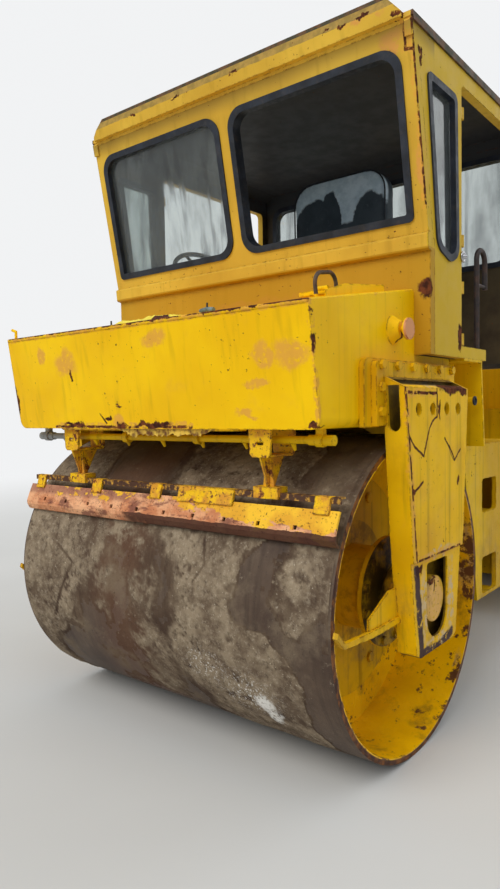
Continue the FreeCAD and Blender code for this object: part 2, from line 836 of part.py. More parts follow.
def front_frame():
    """Beams under the cab and tank, the gusset plates at the cab's front and the pipe stubs beside them."""
    edge_x = axle_x - base_plate_half
    shapes = [box(cab_rear_x + 40, wall_low_x, -well_half, well_half, plate_top_z, deck_z)]
    shapes.append(box(gusset_x, wall_low_x, -beam_half, beam_half, under_z, deck_z))
    shapes.append(box(edge_x, wall_low_x, -frame_half, frame_half, under_z, deck_z))
    inner_y = well_half - 5
    ledge_y = beam_half - 10
    stub_z = under_z + stub_rise
    for side in (-1, 1):
        gusset = [(side * inner_y, deck_z), (side * cab_half, deck_z), (side * cab_half, deck_z - gusset_hem),
                  (side * gusset_foot_y, plate_top_z), (side * inner_y, plate_top_z)]
        shapes.append(slab(gusset, "yz", gusset_x - gusset_thick_x, gusset_x))
        shapes.append(box(gusset_x, edge_x + 1, side * ledge_y, side * cab_half, deck_z - 12, deck_z))
        stub = rod((stub_x, side * ledge_y, stub_z), (stub_x, side * stub_end_y, stub_z), stub_radius)
        bore_y = side * (stub_end_y - 12)
        bore = rod((stub_x, bore_y, stub_z), (stub_x, side * (stub_end_y + 5), stub_z), stub_bore)
        shapes.append(stub.cut(bore))
    return joined(shapes).cut(drum_room())


def rear_frame():
    """Built as a front half, then turned; its first wall carries the swivel's housing."""
    inner = frame_half - plate_thick
    front = joint_gap_x
    shapes = lower_walls(front, 40.0, rear_deck_z)
    shapes.append(box(front, end_wall_x, -inner, inner, plate_top_z - deck_plate_thick, plate_top_z))
    shapes.append(box(front, wall_low_x, -beam_half, beam_half, under_z, rear_deck_z))
    cheek_x = axle_x - base_plate_half
    for side in (-1, 1):
        inner_y = side * (hood_half + 10)
        shapes.append(box(cheek_x, wall_low_x, inner_y, side * frame_half, under_z, base_plate_top_z))
    tail = front + swivel_length
    shapes.append(rod((front, 0, swivel_z), (tail, 0, swivel_z), swivel_radius + swivel_housing))
    bore = rod((front - 10, 0, swivel_z), (tail + 10, 0, swivel_z), swivel_radius + run_gap)
    return to_rear(less(joined(shapes), [bore, drum_room()]))


def cylinder_line(side):
    """Barrel pin, rod eye and unit direction of one steering cylinder."""
    angle = math.radians(ear_angle)
    start = Vector(barrel_pin_x, side * barrel_pin_y, swivel_z)
    end = Vector(ear_radius * math.cos(angle), side * ear_radius * math.sin(angle), swivel_z)
    return start, end, (end - start).normalize()


def hitch_knuckle():
    """Steering pin with its hub, the swivel shaft behind it and the ears for the cylinders."""
    front = -joint_gap_x
    tail = front - swivel_length
    pin_low = knuckle_low_z - knuckle_gap - lug_thick - 15
    pin_top = knuckle_top_z + knuckle_gap + lug_thick + 15
    shapes = [
        Part.makeCylinder(knuckle_radius, knuckle_top_z - knuckle_low_z, Vector(0, 0, knuckle_low_z)),
        Part.makeCylinder(pin_radius, pin_top - pin_low, Vector(0, 0, pin_low)),
        box(front + 60, 0, -80, 80, knuckle_low_z + 20, knuckle_top_z - 20),
        rod((front + 60, 0, swivel_z), (front + 30, 0, swivel_z), swivel_flange_radius),
        rod((front + 40, 0, swivel_z), (tail - 6, 0, swivel_z), swivel_radius),
        rod((tail - 6, 0, swivel_z), (tail - 26, 0, swivel_z), swivel_radius + 35),
    ]
    reach = eye_thick / 2 + eye_gap
    for side in (-1, 1):
        eye = cylinder_line(side)[1]
        for low in (swivel_z - reach - ear_thick, swivel_z + reach):
            shapes.append(Part.makeCylinder(ear_half, ear_thick, Vector(eye.x, eye.y, low)))
            shapes.append(slab([(front + 55, side * 40), (-40, side * 40), (eye.x + 40, eye.y),
                                (eye.x - ear_half, eye.y)], "xy", low, low + ear_thick))
        for side_up in (-1, 1):
            start = swivel_z + side_up * (reach + ear_thick)
            end = start + side_up * pin_head
            shapes.append(rod((eye.x, eye.y, start), (eye.x, eye.y, end), cylinder_pin_radius))
    return joined(shapes)


def cylinder_barrel(side):
    start, end, way = cylinder_line(side)
    eye = Part.makeCylinder(eye_radius, eye_thick, start - Vector(0, 0, eye_thick / 2))
    tube = Part.makeCylinder(barrel_radius, barrel_length - barrel_neck, start + way * barrel_neck, way)
    gland_start = start + way * (barrel_length - gland_length)
    gland = Part.makeCylinder(barrel_radius + 6, gland_length, gland_start, way)
    neck = Part.makeCylinder(24, 60, start + way * 15, way)
    whole = joined([eye, tube, gland, neck])
    deep = barrel_neck + 12
    bore = Part.makeCylinder(rod_radius + run_gap, barrel_length, start + way * deep, way)
    hole_low = start - Vector(0, 0, eye_thick / 2 + 10)
    hole = Part.makeCylinder(cylinder_pin_radius + run_gap, eye_thick + 20, hole_low)
    return less(whole, [bore, hole])


def cylinder_rod(side):
    start, end, way = cylinder_line(side)
    bar = Part.makeCylinder(rod_radius, rod_reach, end, way * -1)
    eye = Part.makeCylinder(eye_radius, eye_thick, end - Vector(0, 0, eye_thick / 2))
    return joined([bar, eye])


# Water tank, its lid, handle and fittings


def tank():
    back = wall_low_x
    top_x = axle_x + tank_top_front_x
    low_x = axle_x + tank_low_front
    body = slab([(back, under_z), (low_x, under_z), (top_x, tank_top_front_z), (back, tank_top_back_z)], "xz",
                -frame_half, frame_half)
    over = tank_top_back_z + 80
    front_view = [(-frame_half, under_z, tank_corner), (frame_half, under_z, tank_corner), (frame_half, over),
                  (-frame_half, over)]
    shapes = [body.common(slab(front_view, "yz", back - 10, top_x + 100))]
    lip_x = top_x - 4
    edge = frame_half - lip_radius
    shapes.append(rod((lip_x, -edge, tank_top_front_z), (lip_x, edge, tank_top_front_z), lip_radius))
    for side in (-1, 1):
        corner = (lip_x, side * edge, tank_top_front_z)
        shapes.append(rod(corner, (back + 10, side * edge, tank_top_back_z - 2), lip_radius))
        shapes.append(Part.makeSphere(lip_radius, Vector(*corner)))
    for y0, y1 in drip_lips:
        shapes.append(box(low_x - 60, low_x - 12, y0, y1, under_z - 8, under_z + 1))
    return joined(shapes)


def tank_fall():
    """Fall of the tank's top for each millimetre forward."""
    return (tank_top_back_z - tank_top_front_z) / (tank_top_front_x - tank_back)


def tank_slope_z(x):
    """Height of the tank's sloping top at a distance x in front of the axle."""
    return tank_top_back_z - tank_fall() * (x - tank_back)


def on_slope(shape, x, y):
    """Stands a shape made at the origin on the tank's sloping top."""
    copy = shape.copy()
    copy.rotate(Vector(0, 0, 0), Vector(0, 1, 0), math.degrees(math.atan(tank_fall())))
    copy.translate(Vector(axle_x + x, y, tank_slope_z(x)))
    return copy


def tank_fittings(tank_shape):
    """Handle, filler neck, upright plate along the left edge, side socket and corner hook of one tank."""
    neck = Part.makeCylinder(filler_radius - 12, neck_height, Vector(0, 0, 0))
    foot = box(hinge_x - hinge_radius, -filler_radius + 20, -ear_outer, ear_outer, 0, neck_height - 4)
    ears = []
    for side in (-1, 1):
        inner = side * (tongue_half + small_gap)
        ears.append(box(hinge_x - hinge_radius, hinge_x + hinge_radius, inner, side * ear_outer, 0, hinge_z))
        ears.append(rod((hinge_x, inner, hinge_z), (hinge_x, side * ear_outer, hinge_z), hinge_radius))
    shapes = [on_slope(joined([neck, foot] + ears), filler_x, filler_y)]
    handle = []
    for x in (-handle_half, handle_half):
        handle.append(Part.makeCylinder(handle_radius, handle_rise, Vector(x, 0, 0)))
    for part in hoop(handle_half, handle_bow, handle_radius):
        part.translate(Vector(0, 0, handle_rise))
        handle.append(part)
    shapes.append(on_slope(joined(handle), handle_x, handle_y))
    screen = slab(screen_corners, "xz", -screen_thick / 2, screen_thick / 2)
    shapes.append(on_slope(screen, screen_x, frame_half - screen_inset))
    # Socket on the tank's left side with its cap
    place = (axle_x + socket_x, frame_half, socket_z)
    boss = Part.makeCone(62.0, 34.0, 40.0, Vector(*place), Vector(0, 1, 0))
    stem = Part.makeCylinder(14.0, 40.0, Vector(place[0], frame_half + 30, place[2]), Vector(0, 1, 0))
    cap = Part.makeCylinder(44.0, 14.0, Vector(place[0], frame_half + 62, place[2]), Vector(0, 1, 0))
    shapes.append(joined([boss, stem, cap]))
    # Hook on the tank's upper right corner
    hook_x = tank_top_front_x - 30
    x = axle_x + hook_x
    y = -frame_half + 30
    top = tank_slope_z(hook_x) + lip_radius
    bend_z = top + 34
    stem = rod((x, y, top - 7), (x, y, bend_z), 7.0)
    tip = rod((x, y, bend_z), (x, y - 32, bend_z + 10), 7.0)
    hook = joined([stem, tip, Part.makeSphere(7.0, Vector(x, y, bend_z))])
    shapes.append(hook.cut(tank_shape))
    return Part.makeCompound(shapes)


def tank_lid():
    """Filler lid of one tank with its hinge tongue and grip."""
    low = neck_height + small_gap
    cap = Part.makeCylinder(filler_radius, lid_plate_thick, Vector(0, 0, low))
    tongue = box(hinge_x, -filler_radius + 30, -tongue_half, tongue_half, low, low + lid_plate_thick)
    knuckle = rod((hinge_x, -tongue_half, hinge_z), (hinge_x, tongue_half, hinge_z), hinge_radius)
    grip_z = low + lid_plate_thick + 10
    grip = rod((0, -30, grip_z), (0, 30, grip_z), 8.0)
    feet = [box(-8, 8, y - 8, y + 8, low + 10, grip_z + 2) for y in (-26, 26)]
    return on_slope(joined([cap, tongue, knuckle, grip] + feet), filler_x, filler_y)


# Cab

lean_deg = math.degrees(math.atan(wall_lean))
lean_stretch = 1 / math.cos(math.radians(lean_deg))
upper_x = wall_low_x + bead_step
top_front_x = upper_x + wall_lean * (wall_top_z - bead_z)
cab_inner = cab_half - wall_thick


def leaned(shape):
    """Moves a shape made upright at X 0, its Z counted from the bead, into the leaning front wall."""
    copy = shape.copy()
    copy.rotate(Vector(0, 0, 0), Vector(0, 1, 0), lean_deg)
    copy.translate(Vector(upper_x, 0, bead_z))
    return copy


def up_wall(z):
    """Distance from the bead along the leaning wall to height z."""
    return (z - bead_z) * lean_stretch


def inset(corners, amount):
    """Outline moved inwards by amount, its round corners tightened to match."""
    points = [Vector(c[0], c[1], 0) for c in corners]
    middle = Vector(0, 0, 0)
    for p in points:
        middle += p * (1.0 / len(points))
    result = []
    count = len(points)
    for i, p in enumerate(points):
        before = (p - points[i - 1]).normalize()
        after = (points[(i + 1) % count] - p).normalize()
        lines = []
        for base, way in ((p, before), (p, after)):
            normal = Vector(-way.y, way.x, 0)
            if normal.dot(middle - base) < 0:
                normal = normal * -1
            lines.append((base + normal * amount, way))
        (a, u), (b, v) = lines
        cross = u.x * v.y - u.y * v.x
        step = ((b.x - a.x) * v.y - (b.y - a.y) * v.x) / cross
        q = a + u * step
        result.append((q.x, q.y, max(corners[i][2] - amount * 0.6, 8.0)))
    return result


def window_hole(corners, plane, inner, outer):
    return slab(inset(corners, seal_lap), plane, inner - 30, outer + 30)


def window_seal(corners, plane, inner, outer):
    """Rubber ring that grips the edge of the hole from both faces of the wall."""
    clear = slab(inset(corners, seal_width), plane, inner - 40, outer + 40)
    ring = slab(corners, plane, inner - seal_proud, outer + seal_proud).cut(clear)
    hole = slab(inset(corners, seal_lap + 0.2), plane, inner - 1, outer + 1)
    return ring.cut(slab(corners, plane, inner, outer).cut(hole))


def window_pane(corners, plane, inner, outer):
    middle = (inner + outer) / 2
    return slab(inset(corners, seal_width), plane, middle - glass_thick / 2, middle + glass_thick / 2)


def front_panes():
    """Outlines of the two front windows along the leaning wall, tight at their outer lower corners."""
    low = up_wall(window_low_z)
    high = up_wall(window_top_z)
    panes = []
    for inner_y, outer_y in front_windows:
        panes.append([(inner_y, low, pane_radius), (outer_y, low, tight_radius), (outer_y, high, pane_radius),
                      (inner_y, high, pane_radius)])
    return panes


def quarter_pane():
    return [(axle_x + x, z, radius) for x, z, radius in quarter_window]


def rear_pane():
    half = cab_half - rear_window_margin
    return rounded_box(-half, half, rear_window_low_z, rear_window_top_z, rear_window_radius)


def cab_front():
    lower = box(wall_low_x - wall_thick, wall_low_x, -cab_half, cab_half, deck_z, bead_z)
    upper = leaned(box(-wall_thick, 0, -cab_half, cab_half, -20, up_wall(wall_top_z) + 20))
    bead_corners = [(wall_low_x - 10, bead_z - 57), (wall_low_x + 26, bead_z - 50, 8.0),
                    (upper_x + 18, bead_z + 14, 8.0), (upper_x - 4, bead_z + 26),
                    (wall_low_x - 10, bead_z + 24)]
    bead = slab(bead_corners, "xz", -cab_half - 4, cab_half + 4)
    wall = joined([lower, upper, bead])
    reach = cab_half + 100
    cuts = [box(wall_low_x - 200, wall_low_x + 450, -reach, reach, wall_top_z, wall_top_z + 200)]
    for corners in front_panes():
        cuts.append(leaned(window_hole(corners, "yz", -wall_thick, 0)))
    return less(wall, cuts)


def cab_side(front_wall):
    """Left side: quarter window, door way with its hinge tabs, rear post."""
    panel = slab([(cab_rear_x, deck_z), (wall_low_x, deck_z), (wall_low_x, bead_z), (upper_x, bead_z),
                  (top_front_x, wall_top_z), (cab_rear_x, wall_top_z)], "xz", cab_inner, cab_half)
    door = slab([(door_rear_x, sill_z), (door_front_x, sill_z), (door_front_x, door_top_z, 30.0),
                 (door_rear_x, door_top_z, 30.0)], "xz", cab_inner - 5, cab_half + 5)
    well = box(door_rear_x, well_front_x, cab_inner - 5, cab_half + 5, deck_z - 5, sill_z + 10)
    hole = window_hole(quarter_pane(), "xz", cab_inner, cab_half)
    panel = less(panel, [door, well, hole, front_wall])
    tabs = []
    pin_x = door_front_x - tab_half - 4
    for rise in tab_rises:
        z = sill_z + rise
        tabs.append(box(pin_x, door_front_x + 6, cab_half - 16, cab_half - 4, z - tab_half, z + tab_half))
        tabs.append(rod((pin_x, cab_half - 10, z - tab_half - 2), (pin_x, cab_half - 10, z + tab_half + 2),
                        tab_pin_radius))
    return joined([panel] + tabs)


def cab_rear():
    wall = box(cab_rear_x, cab_rear_x + wall_thick, -cab_inner, cab_inner, deck_z, wall_top_z)
    return wall.cut(window_hole(rear_pane(), "yz", cab_rear_x, cab_rear_x + wall_thick))


def window_parts():
    """Rubber seals of every window, and the glass that is still there."""
    front = (-wall_thick, 0)
    side = (cab_inner, cab_half)
    rear = (cab_rear_x, cab_rear_x + wall_thick)
    far_pane, near_pane = front_panes()
    seals = [leaned(window_seal(corners, "yz", *front)) for corners in (far_pane, near_pane)]
    panes = [leaned(window_pane(far_pane, "yz", *front))]
    seal = window_seal(quarter_pane(), "xz", *side)
    pane = window_pane(quarter_pane(), "xz", *side)
    seals += [seal, to_right(seal), window_seal(rear_pane(), "yz", *rear)]
    panes += [pane, to_right(pane), window_pane(rear_pane(), "yz", *rear)]
    return Part.makeCompound(seals), Part.makeCompound(panes)


def cab_roof():
    """Roof pan with sloping flanks over a thin rim, a proud front band and a plate on each front corner."""
    band_x = top_front_x + fascia_proud
    band_z = wall_top_z + fascia_step
    rear_x = cab_rear_x - 20
    half = cab_half + roof_lap
    rim_z = wall_top_z + roof_rim
    shoulder = half - roof_shoulder
    crown = shoulder - roof_flank
    side_view = [
        (rear_x + 8, wall_top_z),
        (top_front_x, wall_top_z),
        (top_front_x + 4, band_z),
        (band_x, band_z),
        (band_x + 10, roof_fold_z),
        (band_x + 4, roof_top_z),
        (rear_x, roof_top_z),
        (rear_x, roof_fold_z),
    ]
    flank = [(half, wall_top_z), (half, rim_z), (shoulder, rim_z), (crown, roof_top_z)]
    front_view = flank + [(-y, z) for y, z in reversed(flank)]
    roof = slab(side_view, "xz", -half, half).common(slab(front_view, "yz", rear_x - 10, band_x + 20))
    ceiling_z = roof_top_z - roof_skin - 20
    ceiling = [(cab_inner, wall_top_z - 5), (cab_inner, rim_z - 14), (crown - 24, ceiling_z)]
    hollow_view = ceiling + [(-y, z) for y, z in reversed(ceiling)]
    cuts = [slab(hollow_view, "yz", cab_rear_x + wall_thick, top_front_x - 60)]
    # The band stands proud only between the corner posts
    lug_x = top_front_x + lug_proud
    for side in (-1, 1):
        cuts.append(box(lug_x, band_x + 20, side * shoulder, side * (half + 10), wall_top_z - 5, rim_z + 5))
    shapes = [less(roof, cuts)]
    back_x = top_front_x + small_gap + wall_lean * small_gap
    low_z = wall_top_z - lug_drop
    low_x = -wall_lean * lug_drop
    lug = [(back_x, wall_top_z), (back_x, wall_top_z + 5), (lug_x, wall_top_z + 5), (lug_x, wall_top_z),
           (lug_x + low_x, low_z), (back_x + low_x, low_z)]
    for side in (-1, 1):
        shapes.append(slab(lug, "xz", side * shoulder, side * (cab_half + 4)))
    return joined(shapes)


def cab_floor():
    top = deck_z + floor_thick
    plate = box(cab_rear_x + wall_thick, wall_low_x - wall_thick, -cab_inner, cab_inner, deck_z, top)
    cuts = []
    for side in (-1, 1):
        cuts.append(box(door_rear_x, well_front_x, side * (well_half + 6), side * (cab_inner + 5), deck_z - 5,
                        top + 5))
    return less(plate, cuts)


def driver_seat():
    """Cushion and tall rounded back, as one padded form."""
    low = cushion_z - cushion_thick
    top = cushion_z + seat_back_height
    right = seat_y - seat_half
    left = seat_y + seat_half
    back_corners = [(right, low, 40.0), (left, low, 40.0), (left, top, seat_round), (right, top, seat_round)]
    back = slab(back_corners, "yz", seat_x - seat_back_thick, seat_x)
    cushion = slab(rounded_box(right, left, low, cushion_z, 40.0), "yz", seat_x - 20, seat_x + seat_depth)
    return joined([back, cushion])


def seat_base():
    """Pedestal with its slide, and the bracket that holds the seat's back."""
    floor = deck_z + floor_thick
    top = floor + pedestal_height
    under = cushion_z - cushion_thick - small_gap
    behind = seat_x - seat_back_thick - small_gap
    pedestal = box(seat_x + 20, seat_x + 380, seat_y - 200, seat_y + 200, floor, top)
    slide = box(seat_x + 10, seat_x + 360, seat_y - 220, seat_y + 220, top, under)
    foot = box(behind - 24, seat_x + 60, seat_y - 60, seat_y + 60, under - 60, under - 30)
    bracket = box(behind - 24, behind, seat_y - 60, seat_y + 60, under - 60, cushion_z + seat_back_height / 2)
    return joined([pedestal, slide, foot, bracket])


def console():
    """Steering column with its wheel and the instrument box, on the cab floor."""
    floor = deck_z + floor_thick
    x, y = console_x, console_y
    top = console_top_z
    corners = [(x - 70, floor), (x + 110, floor), (x + 60, top - 50), (x - 10, top), (x - 60, top - 10)]
    stand = slab(corners, "xz", y - console_half, y + console_half)
    centre = Vector(x - wheel_reach, y, wheel_z)
    slant = math.radians(wheel_tilt)
    tilt = Vector(-math.sin(slant), 0, math.cos(slant))
    across = Vector(math.cos(slant), 0, math.sin(slant))
    column = rod((x - 20, y, top - 15), tuple(centre), column_radius)
    hub = rod(tuple(centre - tilt * 6), tuple(centre + tilt * 14), wheel_hub_radius)
    ring = Part.makeTorus(wheel_radius, wheel_bar_radius, centre, tilt)
    spokes = []
    for i in range(spoke_count):
        angle = 2 * math.pi * i / spoke_count + math.pi / 2
        end = centre + (Vector(0, 1, 0) * math.cos(angle) + across * math.sin(angle)) * wheel_radius
        spokes.append(rod(tuple(centre), tuple(end), spoke_radius))
    return joined([stand, column, hub, ring] + spokes)


def grab_rail():
    """Left grab rail in the door way: a tall leg on the sill, a bow, and a short leg with a stay."""
    y = cab_half - rail_inset_y
    middle = (rail_long_x + rail_short_x) / 2
    half = (rail_long_x - rail_short_x) / 2
    legs = [rod((rail_long_x, y, sill_z), (rail_long_x, y, rail_bend_z), rail_radius),
            rod((rail_short_x, y, rail_short_z), (rail_short_x, y, rail_bend_z), rail_radius)]
    stay_z = rail_short_z + 14
    stay = rod((rail_long_x, y, stay_z), (rail_short_x, y, stay_z), 8.0)
    bends = hoop(half, half, rail_radius)
    for part in bends:
        part.translate(Vector(middle, y, rail_bend_z))
    return joined(legs + bends + [stay])


# Engine bay


def engine_block():
    return box(-hood_rear + hood_skin + 158, -hood_front - engine_gap, -engine_half, engine_half, rear_deck_z,
               hood_top_z - engine_gap)


def hood_walls():
    """Walls of the engine bay: louvres in both sides, a grille towards the cab, hinge knuckles behind."""
    outer = box(-hood_rear, -hood_front, -hood_half, hood_half, rear_deck_z, hood_top_z)
    clear_half = hood_half - hood_skin
    inside = box(-hood_rear + hood_skin, -hood_front - hood_skin, -clear_half, clear_half, rear_deck_z - 5,
                 hood_top_z + 5)
    cuts = [inside]
    additions = []
    length = (hood_rear - hood_front - (louvre_banks + 1) * louvre_gap) / louvre_banks
    low_row = hood_top_z - louvre_pitch * (louvre_rows + 1.4)
    for bank in range(louvre_banks):
        x0 = -hood_rear + louvre_gap + bank * (length + louvre_gap)
        for row in range(louvre_rows):
            z = low_row + row * louvre_pitch
            cuts.append(box(x0, x0 + length, -hood_half - 5, hood_half + 5, z, z + louvre_height))
            for side in (-1, 1):
                root = side * (hood_half - 2)
                tip = root + side * louvre_proud
                blade = [(root, z + 30), (tip, z + 7), (tip, z + 2), (root, z + 23)]
                additions.append(slab(blade, "yz", x0 - 8, x0 + length + 8))
    for row in range(grille_rows):
        z = rear_deck_z + 100 + row * grille_pitch
        cuts.append(box(-hood_front - hood_skin - 5, -hood_front + 5, -grille_half, grille_half, z,
                        z + grille_height))
    axis_x = -hood_rear - hood_hinge_reach
    axis_z = hood_top_z + small_gap
    for y in hood_hinge_ys:
        for side in (-1, 1):
            near = y + side * (knuckle_length / 2 + small_gap)
            far = near + side * knuckle_length
            additions.append(rod((axis_x, near, axis_z), (axis_x, far, axis_z), hood_hinge_radius))
            additions.append(box(axis_x, -hood_rear + 1, near, far, axis_z - 40, axis_z - 2))
    return joined([less(outer, cuts)] + additions)


def hood_lid():
    """Top of the engine bay, hinged along its rear edge, with a handle in front."""
    low = hood_top_z + small_gap
    top = low + lid_thick
    edge = hood_half + 6
    crown = hood_half - 60
    front_view = [(-edge, low), (edge, low), (edge, low + 12), (crown, top), (-crown, top), (-edge, low + 12)]
    shapes = [slab(front_view, "yz", -hood_rear, -hood_front + 6)]
    shapes.append(box(-hood_front - 60, -hood_front - 30, -90, 90, top - 2, top + 22))
    axis_x = -hood_rear - hood_hinge_reach
    half = knuckle_length / 2
    for y in hood_hinge_ys:
        shapes.append(rod((axis_x, y - half, low), (axis_x, y + half, low), hood_hinge_radius))
        shapes.append(box(axis_x, -hood_rear + 1, y - half, y + half, low, low + 10))
    return joined(shapes)


def exhaust():
    """Standing pipe in front of the engine bay's right corner, its mouth cut at a slant."""
    x, y = exhaust_x, exhaust_y
    height = exhaust_top_z - rear_deck_z
    pipe = Part.makeCylinder(exhaust_radius, height, Vector(x, y, rear_deck_z))
    silencer = Part.makeCylinder(silencer_radius, 420, Vector(x, y, rear_deck_z + 120))
    bore = Part.makeCylinder(exhaust_bore, 300, Vector(x, y, exhaust_top_z - 290))
    mouth = slab([(x - 80, exhaust_top_z), (x + 80, exhaust_top_z - 100), (x + 80, exhaust_top_z + 60),
                  (x - 80, exhaust_top_z + 60)], "xz", y - 80, y + 80)
    clamp_z = rear_deck_z + 400
    clamp = box(-hood_front, x, y - 20, y + 20, clamp_z, clamp_z + 40)
    return less(joined([pipe, silencer, clamp]), [bore, mouth])


tank_shape = tank()
fittings = tank_fittings(tank_shape)
filler_lid = tank_lid()
leg = drum_leg()
carrier = bearing_carrier()
front_wall = cab_front()
left_side = cab_side(front_wall)
seals, panes = window_parts()
shell = drum_shell()
hub = drum_hub()
scraper_beam = scraper()
sprinkler = spray_bar()
rail = grab_rail()
plate = side_plate()

nodes = {
    "front_drum_shell": shell,
    "front_drum_hub": hub,
    "rear_drum_shell": to_rear(shell),
    "rear_drum_hub": to_rear(hub),
    "front_frame": front_frame(),
    "front_lower_frame": front_lower_frame(),
    "front_side_plates": both_sides(plate),
    "front_tank": tank_shape,
    "front_tank_fittings": fittings,
    "front_tank_lid": filler_lid,
    "front_leg_left": leg,
    "front_leg_right": to_right(leg),
    "front_bearings": both_sides(carrier),
    "front_scraper": scraper_beam,
    "front_spray_bar": sprinkler,
    "cab_front_wall": front_wall,
    "cab_side_left": left_side,
    "cab_side_right": to_right(left_side),
    "cab_rear_wall": cab_rear(),
    "cab_roof": cab_roof(),
    "cab_floor": cab_floor(),
    "window_seals": seals,
    "window_glass": panes,
    "driver_seat": driver_seat(),
    "seat_base": seat_base(),
    "steering_console": console(),
    "grab_rails": both_sides(rail),
    "hitch_knuckle": hitch_knuckle(),
    "steering_barrel_left": cylinder_barrel(1),
    "steering_barrel_right": cylinder_barrel(-1),
    "steering_rod_left": cylinder_rod(1),
    "steering_rod_right": cylinder_rod(-1),
    "rear_frame": rear_frame(),
    "rear_side_plates": to_rear(both_sides(plate)),
    "rear_tank": to_rear(tank_shape),
    "rear_tank_fittings": to_rear(fittings),
    "rear_tank_lid": to_rear(filler_lid),
    "rear_leg_right": to_rear(leg),
    "rear_leg_left": to_rear(to_right(leg)),
    "rear_bearings": to_rear(both_sides(carrier)),
    "rear_scraper": to_rear(scraper_beam),
    "rear_spray_bar": to_rear(sprinkler),
    "engine_block": engine_block(),
    "engine_hood_walls": hood_walls(),
    "engine_hood_lid": hood_lid(),
    "exhaust_pipe": exhaust(),
}

os.makedirs("parts", exist_ok=True)
for name, shape in nodes.items():
    shape.exportStep("parts/" + name + ".step")
    print(name, len(shape.Solids), round(shape.Volume / 1e9, 4), shape.isValid())
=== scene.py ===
"""Finish of the road roller: materials, seat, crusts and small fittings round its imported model."""
import math

import bpy
from mathutils import Matrix, Vector, noise


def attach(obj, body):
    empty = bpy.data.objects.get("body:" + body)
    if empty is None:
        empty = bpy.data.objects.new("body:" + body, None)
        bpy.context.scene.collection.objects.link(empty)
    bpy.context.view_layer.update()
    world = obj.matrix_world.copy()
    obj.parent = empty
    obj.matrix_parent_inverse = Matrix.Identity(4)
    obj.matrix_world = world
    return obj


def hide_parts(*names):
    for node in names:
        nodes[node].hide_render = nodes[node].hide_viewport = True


AXLE_X = 1.8
DRUM_RADIUS = 0.7
DRUM_HALF = 0.955
BEAD_Z = 2.241
WALL_LEAN = 0.188
CAB_FRONT_INSIDE = 1.7165
CAB_REAR_INSIDE = 0.3235
CAB_SIDE_INSIDE = 0.9575
CAB_CEILING = 3.1315
ROOF_FOLD_Z = 3.138
EAVES_Z = 3.0935
EAVES_FALL = 0.42
BLADE_TIP = (2.438, 1.011)
LEG_FACE_Y = 1.062
HANGER_PLACES = (0.62, -0.56)
CLIP_PLACES = ((-0.868, 0.035), (-0.412, 0.037), (0.0, 0.035), (0.298, 0.158), (0.88, 0.036))
CAMERA_PLACE = Vector((4.5234, 2.2287, 1.5134))
CAMERA_YAW = math.radians(218.824)
CAMERA_PITCH = math.radians(-2.825)
CAMERA_ROLL = math.radians(-0.926)
LENS_MM = 27.48
SENSOR_MM = 36.0

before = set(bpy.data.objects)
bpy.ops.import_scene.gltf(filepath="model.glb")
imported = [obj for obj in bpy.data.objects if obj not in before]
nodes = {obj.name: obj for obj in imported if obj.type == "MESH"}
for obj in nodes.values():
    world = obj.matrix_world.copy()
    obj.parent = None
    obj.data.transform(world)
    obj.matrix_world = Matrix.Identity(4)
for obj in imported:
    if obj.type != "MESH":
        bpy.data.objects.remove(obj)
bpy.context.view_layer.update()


def srgb(red, green, blue):
    """Linear colour of an 8-bit colour."""
    linear = []
    for value in (red, green, blue):
        value /= 255
        linear.append(value / 12.92 if value <= 0.04045 else ((value + 0.055) / 1.055) ** 2.4)
    return (*linear, 1.0)


RUST_DARK = srgb(60, 32, 22)
RUST_MID = srgb(112, 60, 34)
PURPLE = srgb(66, 44, 42)
SOIL = srgb(108, 90, 68)
OLIVE = srgb(140, 108, 10)
PEACH = srgb(222, 160, 62)
CREAM = srgb(206, 178, 132)
WHITE_SPLASH = [(2.39, 0.575, 0.325, 0.09, 0.065, 0.065), (2.35, 0.595, 0.265, 0.09, 0.05, 0.06)]
RUSTY_RIM = [(1.13, 0.92, 0.78, 0.10, 0.10, 0.26), (1.13, -0.92, 0.78, 0.10, 0.10, 0.26), (1.30, 0.94, 0.22, 0.12, 0.04, 0.12)]
WHITE_HAZE = [(2.40, 0.50, 0.36, 0.20, 0.22, 0.16), (2.44, 0.30, 0.45, 0.15, 0.16, 0.12)]


